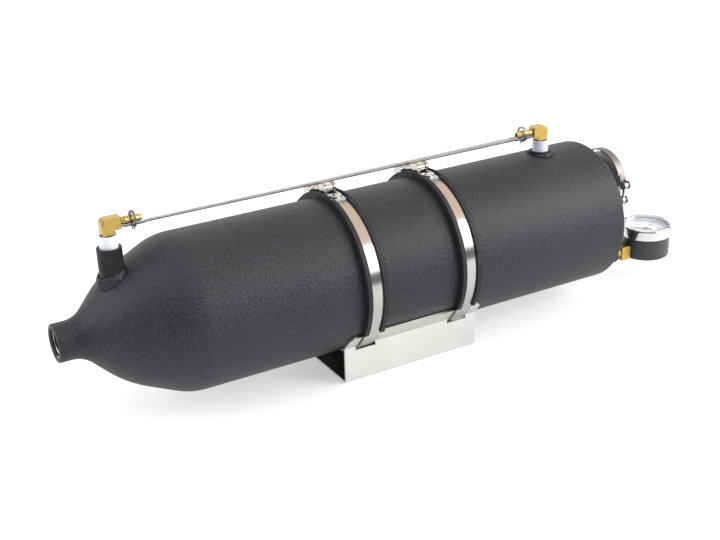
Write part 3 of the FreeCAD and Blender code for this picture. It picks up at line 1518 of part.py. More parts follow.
def check_and_write():
    """Checks every object and writes each sub-part to its own file."""
    DOCUMENT.recompute()
    for thing in DOCUMENT.Objects:
        if "Invalid" in thing.State or "Error" in thing.State:
            raise RuntimeError(f"{thing.Name} failed: {thing.State}")
    os.makedirs("parts", exist_ok=True)
    for thing in PARTS:
        shape = thing.Shape
        if shape.isNull() or not shape.isValid() or not shape.Solids:
            raise RuntimeError(f"{thing.Label} has no valid solid")
        shape.exportStep(f"parts/{thing.Label}.step")
        print(f"{thing.Label}: {len(shape.Solids)} solids, {shape.Volume:.0f} cubic millimetres")


def main():
    """Builds every sub-part and writes them."""
    tank_shell()
    end_plate()
    neck_bung_length = S["bung_top"] - BUNG_FOOT + S["neck_bung_depth"]
    bung("NeckBung", "neck_side_bung", -S["neck_bung_x"], neck_bung_length)
    bung("EndBung", "gauge_side_bung", S["end_bung_x"], S["end_bung_length"])
    weld_beads()
    elbow("NeckElbow", "neck_side_elbow", -S["neck_bung_x"], False)
    elbow("EndElbow", "gauge_side_elbow", S["end_bung_x"], True)
    thread_tape("NeckTape", "neck_side_thread_tape", -S["neck_bung_x"])
    thread_tape("EndTape", "gauge_side_thread_tape", S["end_bung_x"])
    sight_tube()
    grip = TUBE_START + S["barb_length"] / 2
    wire_clamp("NeckWire", "neck_side_tube_clamp", grip - S["neck_bung_x"])
    wire_clamp("EndWire", "gauge_side_tube_clamp", S["end_bung_x"] - grip)
    bracket()
    bands()
    port_neck()
    port_cap()
    port_seal()
    vee_segments()
    vee_strap()
    clamp_hardware()
    air_valve()
    gauge_bung()
    gauge_case()
    gauge_bezel()
    gauge_face()
    gauge_pointer()
    gauge_stem()
    bourdon_tube()
    movement_frame()
    check_and_write()


main()
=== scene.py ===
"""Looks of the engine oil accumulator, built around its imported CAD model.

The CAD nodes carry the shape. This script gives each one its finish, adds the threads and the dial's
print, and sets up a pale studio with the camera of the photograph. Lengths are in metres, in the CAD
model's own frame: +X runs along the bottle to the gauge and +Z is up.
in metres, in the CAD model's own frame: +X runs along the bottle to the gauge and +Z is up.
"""

from __future__ import annotations

import json
import logging
import math
from dataclasses import dataclass, field
from enum import Enum
from typing import Any, Iterable, Sequence

import bmesh
import bpy
from mathutils import Matrix, Vector, noise

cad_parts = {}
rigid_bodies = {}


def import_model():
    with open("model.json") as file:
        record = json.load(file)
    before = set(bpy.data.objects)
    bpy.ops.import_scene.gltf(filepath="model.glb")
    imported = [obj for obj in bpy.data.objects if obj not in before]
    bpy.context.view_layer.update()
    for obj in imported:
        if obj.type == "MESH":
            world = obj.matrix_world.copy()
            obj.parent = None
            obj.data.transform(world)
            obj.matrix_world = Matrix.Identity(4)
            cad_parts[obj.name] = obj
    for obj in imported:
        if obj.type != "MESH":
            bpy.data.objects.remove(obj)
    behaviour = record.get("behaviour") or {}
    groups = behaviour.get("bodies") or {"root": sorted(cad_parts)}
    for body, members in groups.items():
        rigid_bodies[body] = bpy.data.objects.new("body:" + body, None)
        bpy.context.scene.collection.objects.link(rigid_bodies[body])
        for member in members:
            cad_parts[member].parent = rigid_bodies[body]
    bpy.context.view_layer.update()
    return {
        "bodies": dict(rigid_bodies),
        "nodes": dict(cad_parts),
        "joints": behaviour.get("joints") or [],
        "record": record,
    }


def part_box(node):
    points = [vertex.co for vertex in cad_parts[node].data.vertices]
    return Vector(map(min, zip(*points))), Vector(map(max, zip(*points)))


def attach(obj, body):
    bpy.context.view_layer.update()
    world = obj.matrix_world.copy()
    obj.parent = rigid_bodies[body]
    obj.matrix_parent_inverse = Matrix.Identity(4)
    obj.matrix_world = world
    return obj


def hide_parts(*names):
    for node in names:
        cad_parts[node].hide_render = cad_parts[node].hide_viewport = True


LOG = logging.getLogger("accumulator")
MM = 0.001
BODY = "accumulator"

Colour = tuple[float, float, float]


# Places and sizes that the looks share with the CAD model

AXIS_HEIGHT = 68 * MM
NECK_RIM = Vector((-241.5 * MM, 0.0, AXIS_HEIGHT))
GAUGE_CENTRE = Vector((244.0 * MM, -10.0 * MM, 0.0))
PORT_CENTRE = Vector((202.7 * MM, 0.0, 88.0 * MM))
BAND_PLACES = (-38.0 * MM, 38.0 * MM)
BUNG_PLACES = (-199.0 * MM, 140.0 * MM)
TUBE_HEIGHT = 139.5 * MM


class Axis(Enum):
    """An axis that a pattern runs along or round."""

    X = 0
    Y = 1
    Z = 2


class Value:
    """A number socket of a shader tree that can be used in Python sums.

    Args:
        nodes: The tree that the socket belongs to.
        socket: The output socket that gives the number.
    """

    def __init__(self, nodes: "Nodes", socket: bpy.types.NodeSocket) -> None:
        self.nodes = nodes
        self.socket = socket

    def math(self, operation: str, *others: Any) -> "Value":
        """Adds a Math node on this value and returns its result."""
        inputs = dict(enumerate((self, *others)))
        node = self.nodes.node("ShaderNodeMath", {"operation": operation}, inputs)
        return Value(self.nodes, node.outputs[0])

    def __add__(self, other: Any) -> "Value":
        """This value plus another."""
        return self.math("ADD", other)

    __radd__ = __add__

    def __sub__(self, other: Any) -> "Value":
        """This value less another."""
        return self.math("SUBTRACT", other)

    def __rsub__(self, other: Any) -> "Value":
        """Another value less this one."""
        return (self * -1.0) + other

    def __mul__(self, other: Any) -> "Value":
        """This value times another."""
        return self.math("MULTIPLY", other)

    __rmul__ = __mul__

    def __truediv__(self, other: Any) -> "Value":
        """This value over another."""
        return self.math("DIVIDE", other)

    def __pow__(self, other: Any) -> "Value":
        """This value to a power."""
        return self.math("POWER", other)

    def between(self, low: float, high: float) -> "Value":
        """A smooth step that is 0 below low and 1 above high."""
        node = self.nodes.node(
            "ShaderNodeMapRange",
            {"interpolation_type": "SMOOTHSTEP"},
            {"Value": self, "From Min": low, "From Max": high},
        )
        return Value(self.nodes, node.outputs["Result"])


class Nodes:
    """Adds nodes to one shader tree.

    Args:
        tree: The tree of a material or of a world.
    """

    def __init__(self, tree: bpy.types.NodeTree) -> None:
        self.tree = tree

    def node(
        self, kind: str, settings: dict[str, Any], sockets: dict[Any, Any]
    ) -> bpy.types.Node:
        """Adds a node.

        Args:
            kind: The node's type.
            settings: Its properties, and the stops of a colour ramp as (place, colour) pairs.
            sockets: Values or links for its inputs, by name or number.

        Returns:
            The new node.
        """
        node = self.tree.nodes.new(kind)
        for key, value in settings.items():
            if key == "stops":
                self.set_stops(node.color_ramp, value)
            else:
                setattr(node, key, value)
        for key, value in sockets.items():
            self.feed(node.inputs[key], value)
        return node

    def feed(self, socket: bpy.types.NodeSocket, value: Any) -> None:
        """Links a value to a socket, or sets the socket to a plain number or colour."""
        if isinstance(value, Value):
            value = value.socket
        if isinstance(value, bpy.types.NodeSocket):
            self.tree.links.new(value, socket)
        elif socket.type == "RGBA" and len(value) == 3:
            socket.default_value = (*value, 1.0)
        else:
            socket.default_value = value

    @staticmethod
    def set_stops(ramp: bpy.types.ColorRamp, stops: Sequence[tuple[float, Colour]]) -> None:
        """Sets a colour ramp's stops."""
        ramp.elements[0].position = stops[0][0]
        ramp.elements[-1].position = stops[-1][0]
        for place, _ in stops[1:-1]:
            ramp.elements.new(place)
        for element, (_, colour) in zip(ramp.elements, stops):
            element.color = (*colour, 1.0)

    def parts(self, vector: Any) -> tuple[Value, Value, Value]:
        """The three numbers of a vector."""
        node = self.node("ShaderNodeSeparateXYZ", {}, {0: vector})
        x, y, z = (Value(self, output) for output in node.outputs)
        return x, y, z

    def joined(self, x: Any, y: Any, z: Any) -> bpy.types.NodeSocket:
        """A vector of three numbers."""
        return self.node("ShaderNodeCombineXYZ", {}, {0: x, 1: y, 2: z}).outputs[0]

    def noise(self, vector: Any, scale: float, detail: float = 2.0, rough: float = 0.5) -> Value:
        """A noise of even mean one half."""
        node = self.node(
            "ShaderNodeTexNoise",
            {"normalize": True},
            {"Vector": vector, "Scale": scale, "Detail": detail, "Roughness": rough},
        )
        return Value(self, node.outputs["Fac"])

    def cells(self, vector: Any, scale: float, smooth: float = 0.6) -> Value:
        """The distance from the nearest of many scattered points."""
        node = self.node(
            "ShaderNodeTexVoronoi",
            {"feature": "SMOOTH_F1"},
            {"Vector": vector, "Scale": scale, "Smoothness": smooth},
        )
        return Value(self, node.outputs["Distance"])

    def mixed(self, factor: Any, first: Any, second: Any) -> bpy.types.NodeSocket:
        """A mix of two colours."""
        node = self.node(
            "ShaderNodeMix", {"data_type": "RGBA"}, {0: factor, 6: first, 7: second}
        )
        return node.outputs[2]

    def bump(self, height: Value, distance: float, strength: float = 1.0, base: Any = None) -> Any:
        """A normal disturbed by a height."""
        sockets: dict[Any, Any] = {"Height": height, "Distance": distance, "Strength": strength}
        if base is not None:
            sockets["Normal"] = base
        return self.node("ShaderNodeBump", {}, sockets).outputs[0]


class Maker(Nodes):
    """Makes one procedural material around a Principled shader.

    Args:
        name: The material's name.
        fixed: Shader sockets whose value is the same all over the surface.
    """

    def __init__(self, name: str, fixed: dict[str, Any]) -> None:
        self.material = bpy.data.materials.new(name)
        self.material.use_nodes = True
        super().__init__(self.material.node_tree)
        self.shader = self.tree.nodes["Principled BSDF"]
        for socket, value in fixed.items():
            self.shader.inputs[socket].default_value = value
        self.place = self.node("ShaderNodeTexCoord", {}, {}).outputs["Object"]

    def surface(self, socket: str, value: Any) -> None:
        """Feeds something that varies over the surface to the shader."""
        self.feed(self.shader.inputs[socket], value)

    def moved(
        self,
        scale: Sequence[float] = (1.0, 1.0, 1.0),
        offset: Sequence[float] = (0.0, 0.0, 0.0),
    ) -> bpy.types.NodeSocket:
        """Object coordinates, offset and then stretched."""
        shifted = self.node(
            "ShaderNodeVectorMath", {"operation": "SUBTRACT"}, {0: self.place, 1: tuple(offset)}
        )
        scaled = self.node(
            "ShaderNodeVectorMath",
            {"operation": "MULTIPLY"},
            {0: shifted.outputs[0], 1: tuple(scale)},
        )
        return scaled.outputs[0]

    def around(self, axis: Axis, centre: Vector) -> tuple[Value, Value, Value]:
        """Coordinates round a line: the way along it, the angle and the radius.

        Args:
            axis: The axis that the line lies along.
            centre: A point on the line.

        Returns:
            The distance along the line, the angle round it and the distance from it.
        """
        numbers = self.parts(self.moved(offset=centre))
        along = numbers[axis.value]
        first, second = [number for number in numbers if number is not along]
        angle = first.math("ARCTAN2", second)
        radius = (first * first + second * second).math("SQRT")
        return along, angle, radius

    def facing(self) -> Value:
        """How far the surface is turned from the eye: 0 seen square on, 1 seen edge on."""
        weight = self.node("ShaderNodeLayerWeight", {}, {"Blend": 0.5})
        return Value(self, weight.outputs["Facing"])

    def clear_mix(self, tint: Colour, gloss: Value) -> None:
        """Lets the surface be seen through, except where its gloss and its base colour show; the clear
        finishes use that base colour as a painted reflection.

        Args:
            tint: What it lets through.
            gloss: The share of the shader's own surface.
        """
        clear = self.node("ShaderNodeBsdfTransparent", {}, {"Color": tint})
        sockets = {0: gloss, 1: clear.outputs[0], 2: self.shader.outputs[0]}
        mix = self.node("ShaderNodeMixShader", {}, sockets)
        output = self.tree.nodes["Material Output"]
        self.tree.links.new(mix.outputs[0], output.inputs["Surface"])


@dataclass(frozen=True)
class WrinkleCoat:
    """Baked fine-wrinkle paint, smooth over spun metal and lumpy over a weld."""

    slot: str = "tank_coat"
    low: Colour = (0.0045, 0.0050, 0.0075)
    high: Colour = (0.029, 0.031, 0.0395)
    grain: float = 1000.0
    lump: float = 0.0

    def material(self) -> bpy.types.Material:
        """Makes the material."""
        maker = Maker(self.slot, {"Specular IOR Level": 0.36})
        cells = maker.cells(maker.moved(), self.grain)
        soft = maker.noise(maker.moved(), self.grain * 0.8, 3.0, 0.6)
        broad = maker.noise(maker.moved(), 14.0, 2.0)
        height = (soft - cells * 0.9) * 0.6 + 0.4
        # The tone follows the noise that also raises the wrinkles, so the crests are painted lighter and
        # the hollows darker, as painted highlight and shade; the broad noise adds random tone.
        tone = (soft - 0.5) * 2.8 + (broad - 0.5) * 0.5 + 0.42
        maker.surface("Base Color", maker.mixed(tone, self.low, self.high))
        maker.surface("Roughness", soft * 0.26 + 0.38)
        skin = maker.bump(height, 0.5 * MM, 0.9)
        if self.lump:
            ripple = maker.noise(maker.moved(), 130.0, 2.0, 0.55)
            skin = maker.bump(ripple, self.lump, 1.0, skin)
        maker.surface("Normal", skin)
        return maker.material


@dataclass(frozen=True)
class SatinCoat:
    """The smoother, darker paint on the sight tube's bungs."""

    slot: str = "bung_coat"
    colour: Colour = (0.005, 0.005, 0.007)
    worn: Colour = (0.014, 0.014, 0.018)

    def material(self) -> bpy.types.Material:
        """Makes the material."""
        maker = Maker(self.slot, {"Specular IOR Level": 0.3})
        grain = maker.noise(maker.moved(), 900.0, 3.0)
        broad = maker.noise(maker.moved(), 90.0, 2.0)
        maker.surface("Base Color", maker.mixed(broad.between(0.45, 0.75), self.colour, self.worn))
        maker.surface("Roughness", grain * 0.2 + 0.42)
        maker.surface("Normal", maker.bump(grain, 0.12 * MM, 0.5))
        return maker.material


@dataclass(frozen=True)
class BrushedSteel:
    """Stainless sheet or strip with brushing along its length.

    Attributes:
        slot: The material's name.
        colour: The clean metal.
        dull: The metal where it is handled.
        round_height: The height of the axis that a strap runs round, or zero for flat sheet.
        blur: The roughness of the smoothest places.
    """

    slot: str = "stainless"
    colour: Colour = (0.64, 0.642, 0.61)
    dull: Colour = (0.60, 0.602, 0.575)
    round_height: float = 0.0
    blur: float = 0.2

    def material(self) -> bpy.types.Material:
        """Makes the material."""
        maker = Maker(self.slot, {"Metallic": 1.0})
        if self.round_height:
            along, angle, _ = maker.around(Axis.X, Vector((0.0, 0.0, self.round_height)))
            lines = maker.joined(along * 4200.0, angle * 2.4, 0.0)
        else:
            lines = maker.moved((14.0, 3400.0, 3400.0))
        scratch = maker.noise(lines, 1.0, 4.0, 0.62)
        cloud = maker.noise(maker.moved(), 26.0, 3.0)
        maker.surface("Base Color", maker.mixed(cloud.between(0.3, 0.75), self.colour, self.dull))
        maker.surface("Roughness", scratch * 0.14 + cloud * 0.05 + self.blur)
        maker.surface("Normal", maker.bump(scratch, 0.02 * MM, 0.4))
        return maker.material


@dataclass(frozen=True)
class PlatedSteel:
    """Zinc-plated bolts, trunnions and nuts."""

    slot: str = "plated_steel"
    colour: Colour = (0.58, 0.57, 0.55)
    dull: Colour = (0.36, 0.35, 0.34)
    roughness: float = 0.16

    def material(self) -> bpy.types.Material:
        """Makes the material."""
        maker = Maker(self.slot, {"Metallic": 1.0})
        cloud = maker.noise(maker.moved(), 300.0, 4.0, 0.6)
        grain = maker.noise(maker.moved(), 2600.0, 2.0)
        maker.surface("Base Color", maker.mixed(cloud.between(0.42, 0.8), self.colour, self.dull))
        maker.surface("Roughness", cloud * 0.2 + self.roughness)
        maker.surface("Normal", maker.bump(grain, 0.03 * MM, 0.5))
        return maker.material


@dataclass(frozen=True)
class Brass:
    """Machined brass with fine tool marks and a little tarnish."""

    slot: str = "brass"
    colour: Colour = (0.45, 0.312, 0.086)
    tarnish: Colour = (0.26, 0.18, 0.046)

    def material(self) -> bpy.types.Material:
        """Makes the material."""
        maker = Maker(self.slot, {"Metallic": 1.0})
        cloud = maker.noise(maker.moved(), 220.0, 4.0, 0.65)
        marks = maker.noise(maker.moved((900.0, 900.0, 5200.0)), 1.0, 3.0)
        maker.surface("Base Color", maker.mixed(cloud.between(0.5, 0.85), self.colour, self.tarnish))
        maker.surface("Roughness", cloud * 0.24 + 0.16)
        maker.surface("Normal", maker.bump(marks, 0.03 * MM, 0.5))
        return maker.material


@dataclass(frozen=True)
class SealingTape:
    """White tape wound in a close spiral round the elbows' threads."""

    slot: str = "sealing_tape"
    colour: Colour = (0.88, 0.90, 0.94)
    shade: Colour = (0.78, 0.81, 0.87)
    pitch: float = 1.7 * MM

    def material(self) -> bpy.types.Material:
        """Makes the material."""
        maker = Maker(self.slot, {"Roughness": 0.42, "Subsurface Weight": 0.1})
        x, y, z = maker.parts(maker.moved())
        near_neck = (x * -1.0).between(0.0, 0.001)
        centre = near_neck * BUNG_PLACES[0] + (1.0 - near_neck) * BUNG_PLACES[1]
        angle = y.math("ARCTAN2", x - centre)
        wobble = maker.noise(maker.moved(), 260.0, 2.0) * 0.5
        turn = (z / self.pitch + angle / math.tau + wobble).math("FRACT")
        # Painted shade: the shade colour lies along each turn's edge, in the crease where one wrap steps
        # onto the next.
        edge = turn.between(0.0, 0.16) * (1.0 - turn.between(0.86, 1.0))
        maker.surface("Base Color", maker.mixed(edge, self.shade, self.colour))
        maker.surface("Normal", maker.bump(turn, 0.35 * MM, 0.7))
        return maker.material


@dataclass(frozen=True)
class ClearVinyl:
    """The sight tube's clear plastic, seen edge on with a painted dark reflection of the bottle along its
    lower wall and a painted pale reflection of the room along its upper wall.

    Attributes:
        slot: The material's name.
        tint: What it lets through.
        body: The painted pale reflection of the room on its upper wall, seen edge on.
        film: The painted dark reflection of the bottle on its lower wall, seen edge on.
        wall: The radius from which the wall counts as the outer one.
    """

    slot: str = "clear_vinyl"
    tint: Colour = (0.995, 0.995, 0.99)
    # Both colours are painted reflections: the pale room on the upper wall and the dark bottle on the
    # lower wall.
    body: Colour = (0.96, 0.95, 0.93)
    film: Colour = (0.085, 0.078, 0.072)
    wall: float = 3.0 * MM

    def material(self) -> bpy.types.Material:
        """Makes the material."""
        maker = Maker(self.slot, {})
        smudge = maker.noise(maker.moved((60.0, 160.0, 160.0)), 1.0, 4.0, 0.6)
        _, _, radius = maker.around(Axis.X, Vector((0.0, 0.0, TUBE_HEIGHT)))
        _, _, height = maker.parts(maker.moved(offset=(0.0, 0.0, TUBE_HEIGHT)))
        # Painted reflections: below the axis the wall takes the dark reflection of the bottle, above it
        # the pale reflection of the room.
        low = 1.0 - (height + smudge * MM).between(-2.0 * MM, -0.4 * MM)
        facing = maker.facing()
        # Where the lower wall's outer shell is seen edge on, it gets an extra painted dark reflection
        # line.
        edge = facing.between(0.08, 0.24) * radius.between(self.wall, self.wall + 0.4 * MM)
        maker.surface("Base Color", maker.mixed(low, self.body, self.film))
        maker.surface("Roughness", smudge * 0.08 + 0.04)
        maker.clear_mix(self.tint, facing**3.2 * 0.6 + 0.02 + edge * low * 0.7)
        return maker.material


@dataclass(frozen=True)
class ClearLens:
    """The gauge's thin window, which shows the dial under a soft gloss, partly real and partly a painted
    reflection from its near-white base colour.
    """

    slot: str = "gauge_glass"
    tint: Colour = (0.97, 0.98, 0.985)

    def material(self) -> bpy.types.Material:
        """Makes the material."""
        # The near-white base colour is a painted reflection, a pale veil over the dial beside the
        # shader's own gloss.
        maker = Maker(self.slot, {"Base Color": (0.95, 0.97, 0.98, 1.0)})
        smudge = maker.noise(maker.moved(), 120.0, 4.0, 0.6)
        maker.surface("Roughness", smudge * 0.08 + 0.02)
        maker.clear_mix(self.tint, maker.facing() ** 5.0 * 0.9 + 0.09)
        return maker.material


@dataclass(frozen=True)
class Rubber:
    """Moulded black rubber."""

    slot: str = "liner_rubber"
    colour: Colour = (0.009, 0.009, 0.012)
    dust: Colour = (0.034, 0.034, 0.040)

    def material(self) -> bpy.types.Material:
        """Makes the material."""
        maker = Maker(self.slot, {"Specular IOR Level": 0.35})
        grain = maker.noise(maker.moved(), 1500.0, 3.0)
        broad = maker.noise(maker.moved(), 60.0, 4.0, 0.65)
        maker.surface("Base Color", maker.mixed(broad.between(0.5, 0.9), self.colour, self.dust))
        maker.surface("Roughness", grain * 0.2 + 0.52)
        maker.surface("Normal", maker.bump(grain, 0.08 * MM, 0.5))
        return maker.material


@dataclass(frozen=True)
class TurnedAlloy:
    """Bare alloy with the rings that a lathe leaves, round an axis along X."""

    slot: str = "cap_alloy"
    centre: Vector = field(default_factory=lambda: PORT_CENTRE)
    colour: Colour = (0.58, 0.58, 0.59)
    dull: Colour = (0.45, 0.45, 0.46)

    def material(self) -> bpy.types.Material:
        """Makes the material."""
        maker = Maker(self.slot, {"Metallic": 1.0})
        _, _, radius = maker.around(Axis.X, self.centre)
        rings = maker.noise(maker.joined(radius * 5200.0, 0.0, 0.0), 1.0, 3.0)
        cloud = maker.noise(maker.moved(), 70.0, 3.0)
        maker.surface("Base Color", maker.mixed(cloud.between(0.35, 0.8), self.colour, self.dull))
        maker.surface("Roughness", rings * 0.18 + 0.2)
        maker.surface("Normal", maker.bump(rings, 0.03 * MM, 0.6))
        return maker.material


@dataclass(frozen=True)
class SatinBlack:
    """Smooth black: paint on the gauge's case, print, or moulded plastic."""

    slot: str
    colour: Colour = (0.028, 0.028, 0.030)
    scuffed: Colour = (0.05, 0.05, 0.052)
    roughness: float = 0.34

    def material(self) -> bpy.types.Material:
        """Makes the material."""
        maker = Maker(self.slot, {"Specular IOR Level": 0.5})
        grain = maker.noise(maker.moved(), 1900.0, 2.0)
        scuffs = maker.noise(maker.moved((90.0, 90.0, 400.0)), 1.0, 5.0, 0.7)
        maker.surface("Base Color", maker.mixed(scuffs.between(0.55, 0.85), self.colour, self.scuffed))
        maker.surface("Roughness", scuffs * 0.14 + self.roughness)
        maker.surface("Normal", maker.bump(grain, 0.02 * MM, 0.4))
        return maker.material


@dataclass(frozen=True)
class Chrome:
    """Polished chrome on the gauge's bezel."""

    slot: str = "gauge_chrome"
    colour: Colour = (0.62, 0.62, 0.63)
    haze: Colour = (0.50, 0.50, 0.52)

    def material(self) -> bpy.types.Material:
        """Makes the material."""
        maker = Maker(self.slot, {"Metallic": 1.0})
        film = maker.noise(maker.moved(), 160.0, 4.0, 0.6)
        maker.surface("Base Color", maker.mixed(film.between(0.45, 0.9), self.colour, self.haze))
        maker.surface("Roughness", film * 0.05 + 0.06)
        return maker.material


@dataclass(frozen=True)
class DialEnamel:
    """The gauge dial's white enamel."""

    slot: str = "dial_white"
    colour: Colour = (0.88, 0.93, 1.0)
    aged: Colour = (0.80, 0.83, 0.90)

    def material(self) -> bpy.types.Material:
        """Makes the material."""
        maker = Maker(self.slot, {"Specular IOR Level": 0.4})
        cloud = maker.noise(maker.moved(), 110.0, 3.0)
        maker.surface("Base Color", maker.mixed(cloud.between(0.4, 0.9), self.colour, self.aged))
        maker.surface("Roughness", cloud * 0.12 + 0.4)
        return maker.material


FINISHES: tuple[Any, ...] = (
    WrinkleCoat(),
    SatinCoat(),
    BrushedSteel(),
    PlatedSteel(),
    PlatedSteel("spring_wire", (0.30, 0.28, 0.26), (0.14, 0.12, 0.11), 0.3),
    Rubber(),
    Rubber("seal_rubber"),
    Brass(),
    Brass("spring_bronze", (0.62, 0.40, 0.20), (0.35, 0.2, 0.1)),
    SealingTape(),
    ClearVinyl(),
    TurnedAlloy(),
    SatinBlack("valve_cap_plastic", roughness=0.42),
    SatinBlack("gauge_black"),
    SatinBlack("pointer_black", (0.012, 0.012, 0.012), (0.02, 0.02, 0.02), 0.45),
    Chrome(),
    ClearLens(),
    DialEnamel(),
)
OWN_FINISHES = {
    "neck_band": "strap",
    "gauge_band": "strap",
    "v_band_strap": "clasp",
    "v_band_segments": "ferrule",
    "port_neck": "ferrule",
    "weld_beads": "weld_coat",
}


class Wardrobe:
    """Every material of the object, by slot, and the dressing of CAD nodes and new pieces."""

    def __init__(self) -> None:
        self.materials = {finish.slot: finish.material() for finish in FINISHES}
        for steel in (
            BrushedSteel("strap", (0.43, 0.42, 0.395), (0.39, 0.38, 0.355), AXIS_HEIGHT, 0.10),
            BrushedSteel("clasp", (0.22, 0.206, 0.198), (0.17, 0.16, 0.153), PORT_CENTRE.z, 0.42),
            BrushedSteel("ferrule", (0.42, 0.415, 0.41), (0.36, 0.355, 0.35), PORT_CENTRE.z, 0.36),
        ):
            self.materials[steel.slot] = steel.material()
        welds = WrinkleCoat("weld_coat", (0.0045, 0.0050, 0.0080), (0.032, 0.034, 0.046), lump=0.6 * MM)
        self.materials["weld_coat"] = welds.material()
        self.materials["thread_alloy"] = TurnedAlloy("thread_alloy", NECK_RIM).material()

    def dress_nodes(self, nodes: dict[str, bpy.types.Object], record: dict[str, Any]) -> None:
        """Gives each CAD node the material of its slot.

        Args:
            nodes: The CAD nodes by name.
            record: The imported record, which names each node's slot.
        """
        slots = {part["node"]: part["material_slot"] for part in record["subparts"]}
        for name, thing in nodes.items():
            slot = OWN_FINISHES.get(name, slots[name])
            thing.data.materials.clear()
            thing.data.materials.append(self.materials[slot])
            LOG.info("dressed %s as %s", name, slot)

    def dress(self, thing: bpy.types.Object, slot: str) -> None:
        """Gives a new piece one material."""
        thing.data.materials.clear()
        thing.data.materials.append(self.materials[slot])


class Pattern:
    """A geometry node tree with named inputs, turned into a plain mesh.

    Args:
        name: The tree's name.
        inputs: Its number inputs, with their values.
    """

    def __init__(self, name: str, inputs: dict[str, float]) -> None:
        self.name = name
        self.values = inputs
        self.tree = bpy.data.node_groups.new(name, "GeometryNodeTree")
        face = self.tree.interface
        self.sockets = {
            key: face.new_socket(key, in_out="INPUT", socket_type="NodeSocketFloat")
            for key in inputs
        }
        face.new_socket("Geometry", in_out="OUTPUT", socket_type="NodeSocketGeometry")
        self.entry = self.tree.nodes.new("NodeGroupInput")

    def size(self, name: str) -> bpy.types.NodeSocket:
        """The socket of a named input."""
        return self.entry.outputs[name]

    def node(
        self, kind: str, settings: dict[str, Any], sockets: dict[Any, Any]
    ) -> bpy.types.Node:
        """Adds a node with its settings and its inputs' values or links."""
        node = self.tree.nodes.new(kind)
        for key, value in settings.items():
            setattr(node, key, value)
        for key, value in sockets.items():
            if isinstance(value, bpy.types.NodeSocket):
                self.tree.links.new(value, node.inputs[key])
            else:
                node.inputs[key].default_value = value
        return node

    def sum(self, operation: str, *values: Any) -> bpy.types.NodeSocket:
        """The result of a Math node."""
        node = self.node("ShaderNodeMath", {"operation": operation}, dict(enumerate(values)))
        return node.outputs[0]

    def vector(self, x: Any = 0.0, y: Any = 0.0, z: Any = 0.0) -> bpy.types.NodeSocket:
        """A vector of three numbers or sockets."""
        return self.node("ShaderNodeCombineXYZ", {}, {0: x, 1: y, 2: z}).outputs[0]

    def made(
        self, geometry: bpy.types.NodeSocket, material: bpy.types.Material, place: Matrix
    ) -> bpy.types.Mesh:
        """Ends the tree, evaluates it once and returns its mesh in the row frame.

        Args:
            geometry: The tree's last geometry.
            material: The material that the mesh carries.
            place: Where the pattern's own frame lies in the row frame.

        Returns:
            A plain mesh.
        """
        real = self.node("GeometryNodeRealizeInstances", {}, {0: geometry}).outputs[0]
        dressed = self.node("GeometryNodeSetMaterial", {}, {"Geometry": real})
        dressed.inputs["Material"].default_value = material
        end = self.tree.nodes.new("NodeGroupOutput")
        self.tree.links.new(dressed.outputs[0], end.inputs[0])
        carrier = bpy.data.objects.new(self.name, bpy.data.meshes.new(self.name))
        bpy.context.scene.collection.objects.link(carrier)
        modifier = carrier.modifiers.new(self.name, "NODES")
        modifier.node_group = self.tree
        for key, value in self.values.items():
            modifier[self.sockets[key].identifier] = float(value)
        bpy.context.view_layer.update()
        seen = carrier.evaluated_get(bpy.context.evaluated_depsgraph_get())
        mesh = bpy.data.meshes.new_from_object(seen)
        bpy.data.objects.remove(carrier)
        mesh.transform(place)
        return mesh


def joined_piece(name: str, meshes: Iterable[bpy.types.Mesh]) -> bpy.types.Object:
    """Joins meshes into one piece that rides on the accumulator.

    Args:
        name: The piece's name.
        meshes: Meshes in the row frame, with their materials.

    Returns:
        The new object.
    """
    things = []
    for mesh in meshes:
        thing = bpy.data.objects.new(name, mesh)
        bpy.context.scene.collection.objects.link(thing)
        things.append(thing)
    with bpy.context.temp_override(
        active_object=things[0], selected_editable_objects=things, selected_objects=things
    ):
        bpy.ops.object.join()
    piece = things[0]
    piece.name = name
    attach(piece, BODY)
    LOG.info("made %s with %d faces", name, len(piece.data.polygons))
    return piece


def turned_mesh(
    name: str, outline: Sequence[tuple[float, float]], place: Matrix, sides: int = 96
) -> bpy.types.Mesh:
    """Turns a closed outline round its axis, smooth but for its sharp corners.

    Args:
        name: The mesh's name.
        outline: Points as distances along the axis and from it, outside first.
        place: Where the axis, which is the mesh's own Z, lies in the row frame.
        sides: How many sides its round sections have.

    Returns:
        The closed mesh.
    """
    points = []
    for along, radius in outline:
        for side in range(sides):
            angle = math.tau * side / sides
            points.append((radius * math.cos(angle), radius * math.sin(angle), along))
    faces = []
    for ring in range(len(outline)):
        here, after = ring * sides, (ring + 1) % len(outline) * sides
        for side in range(sides):
            beside = (side + 1) % sides
            faces.append((here + side, here + beside, after + beside, after + side))
    mesh = bpy.data.meshes.new(name)
    mesh.from_pydata(points, [], faces)
    mesh.transform(place)
    mesh.shade_smooth()
    mesh.set_sharp_from_angle(angle=math.radians(40.0))
    return mesh


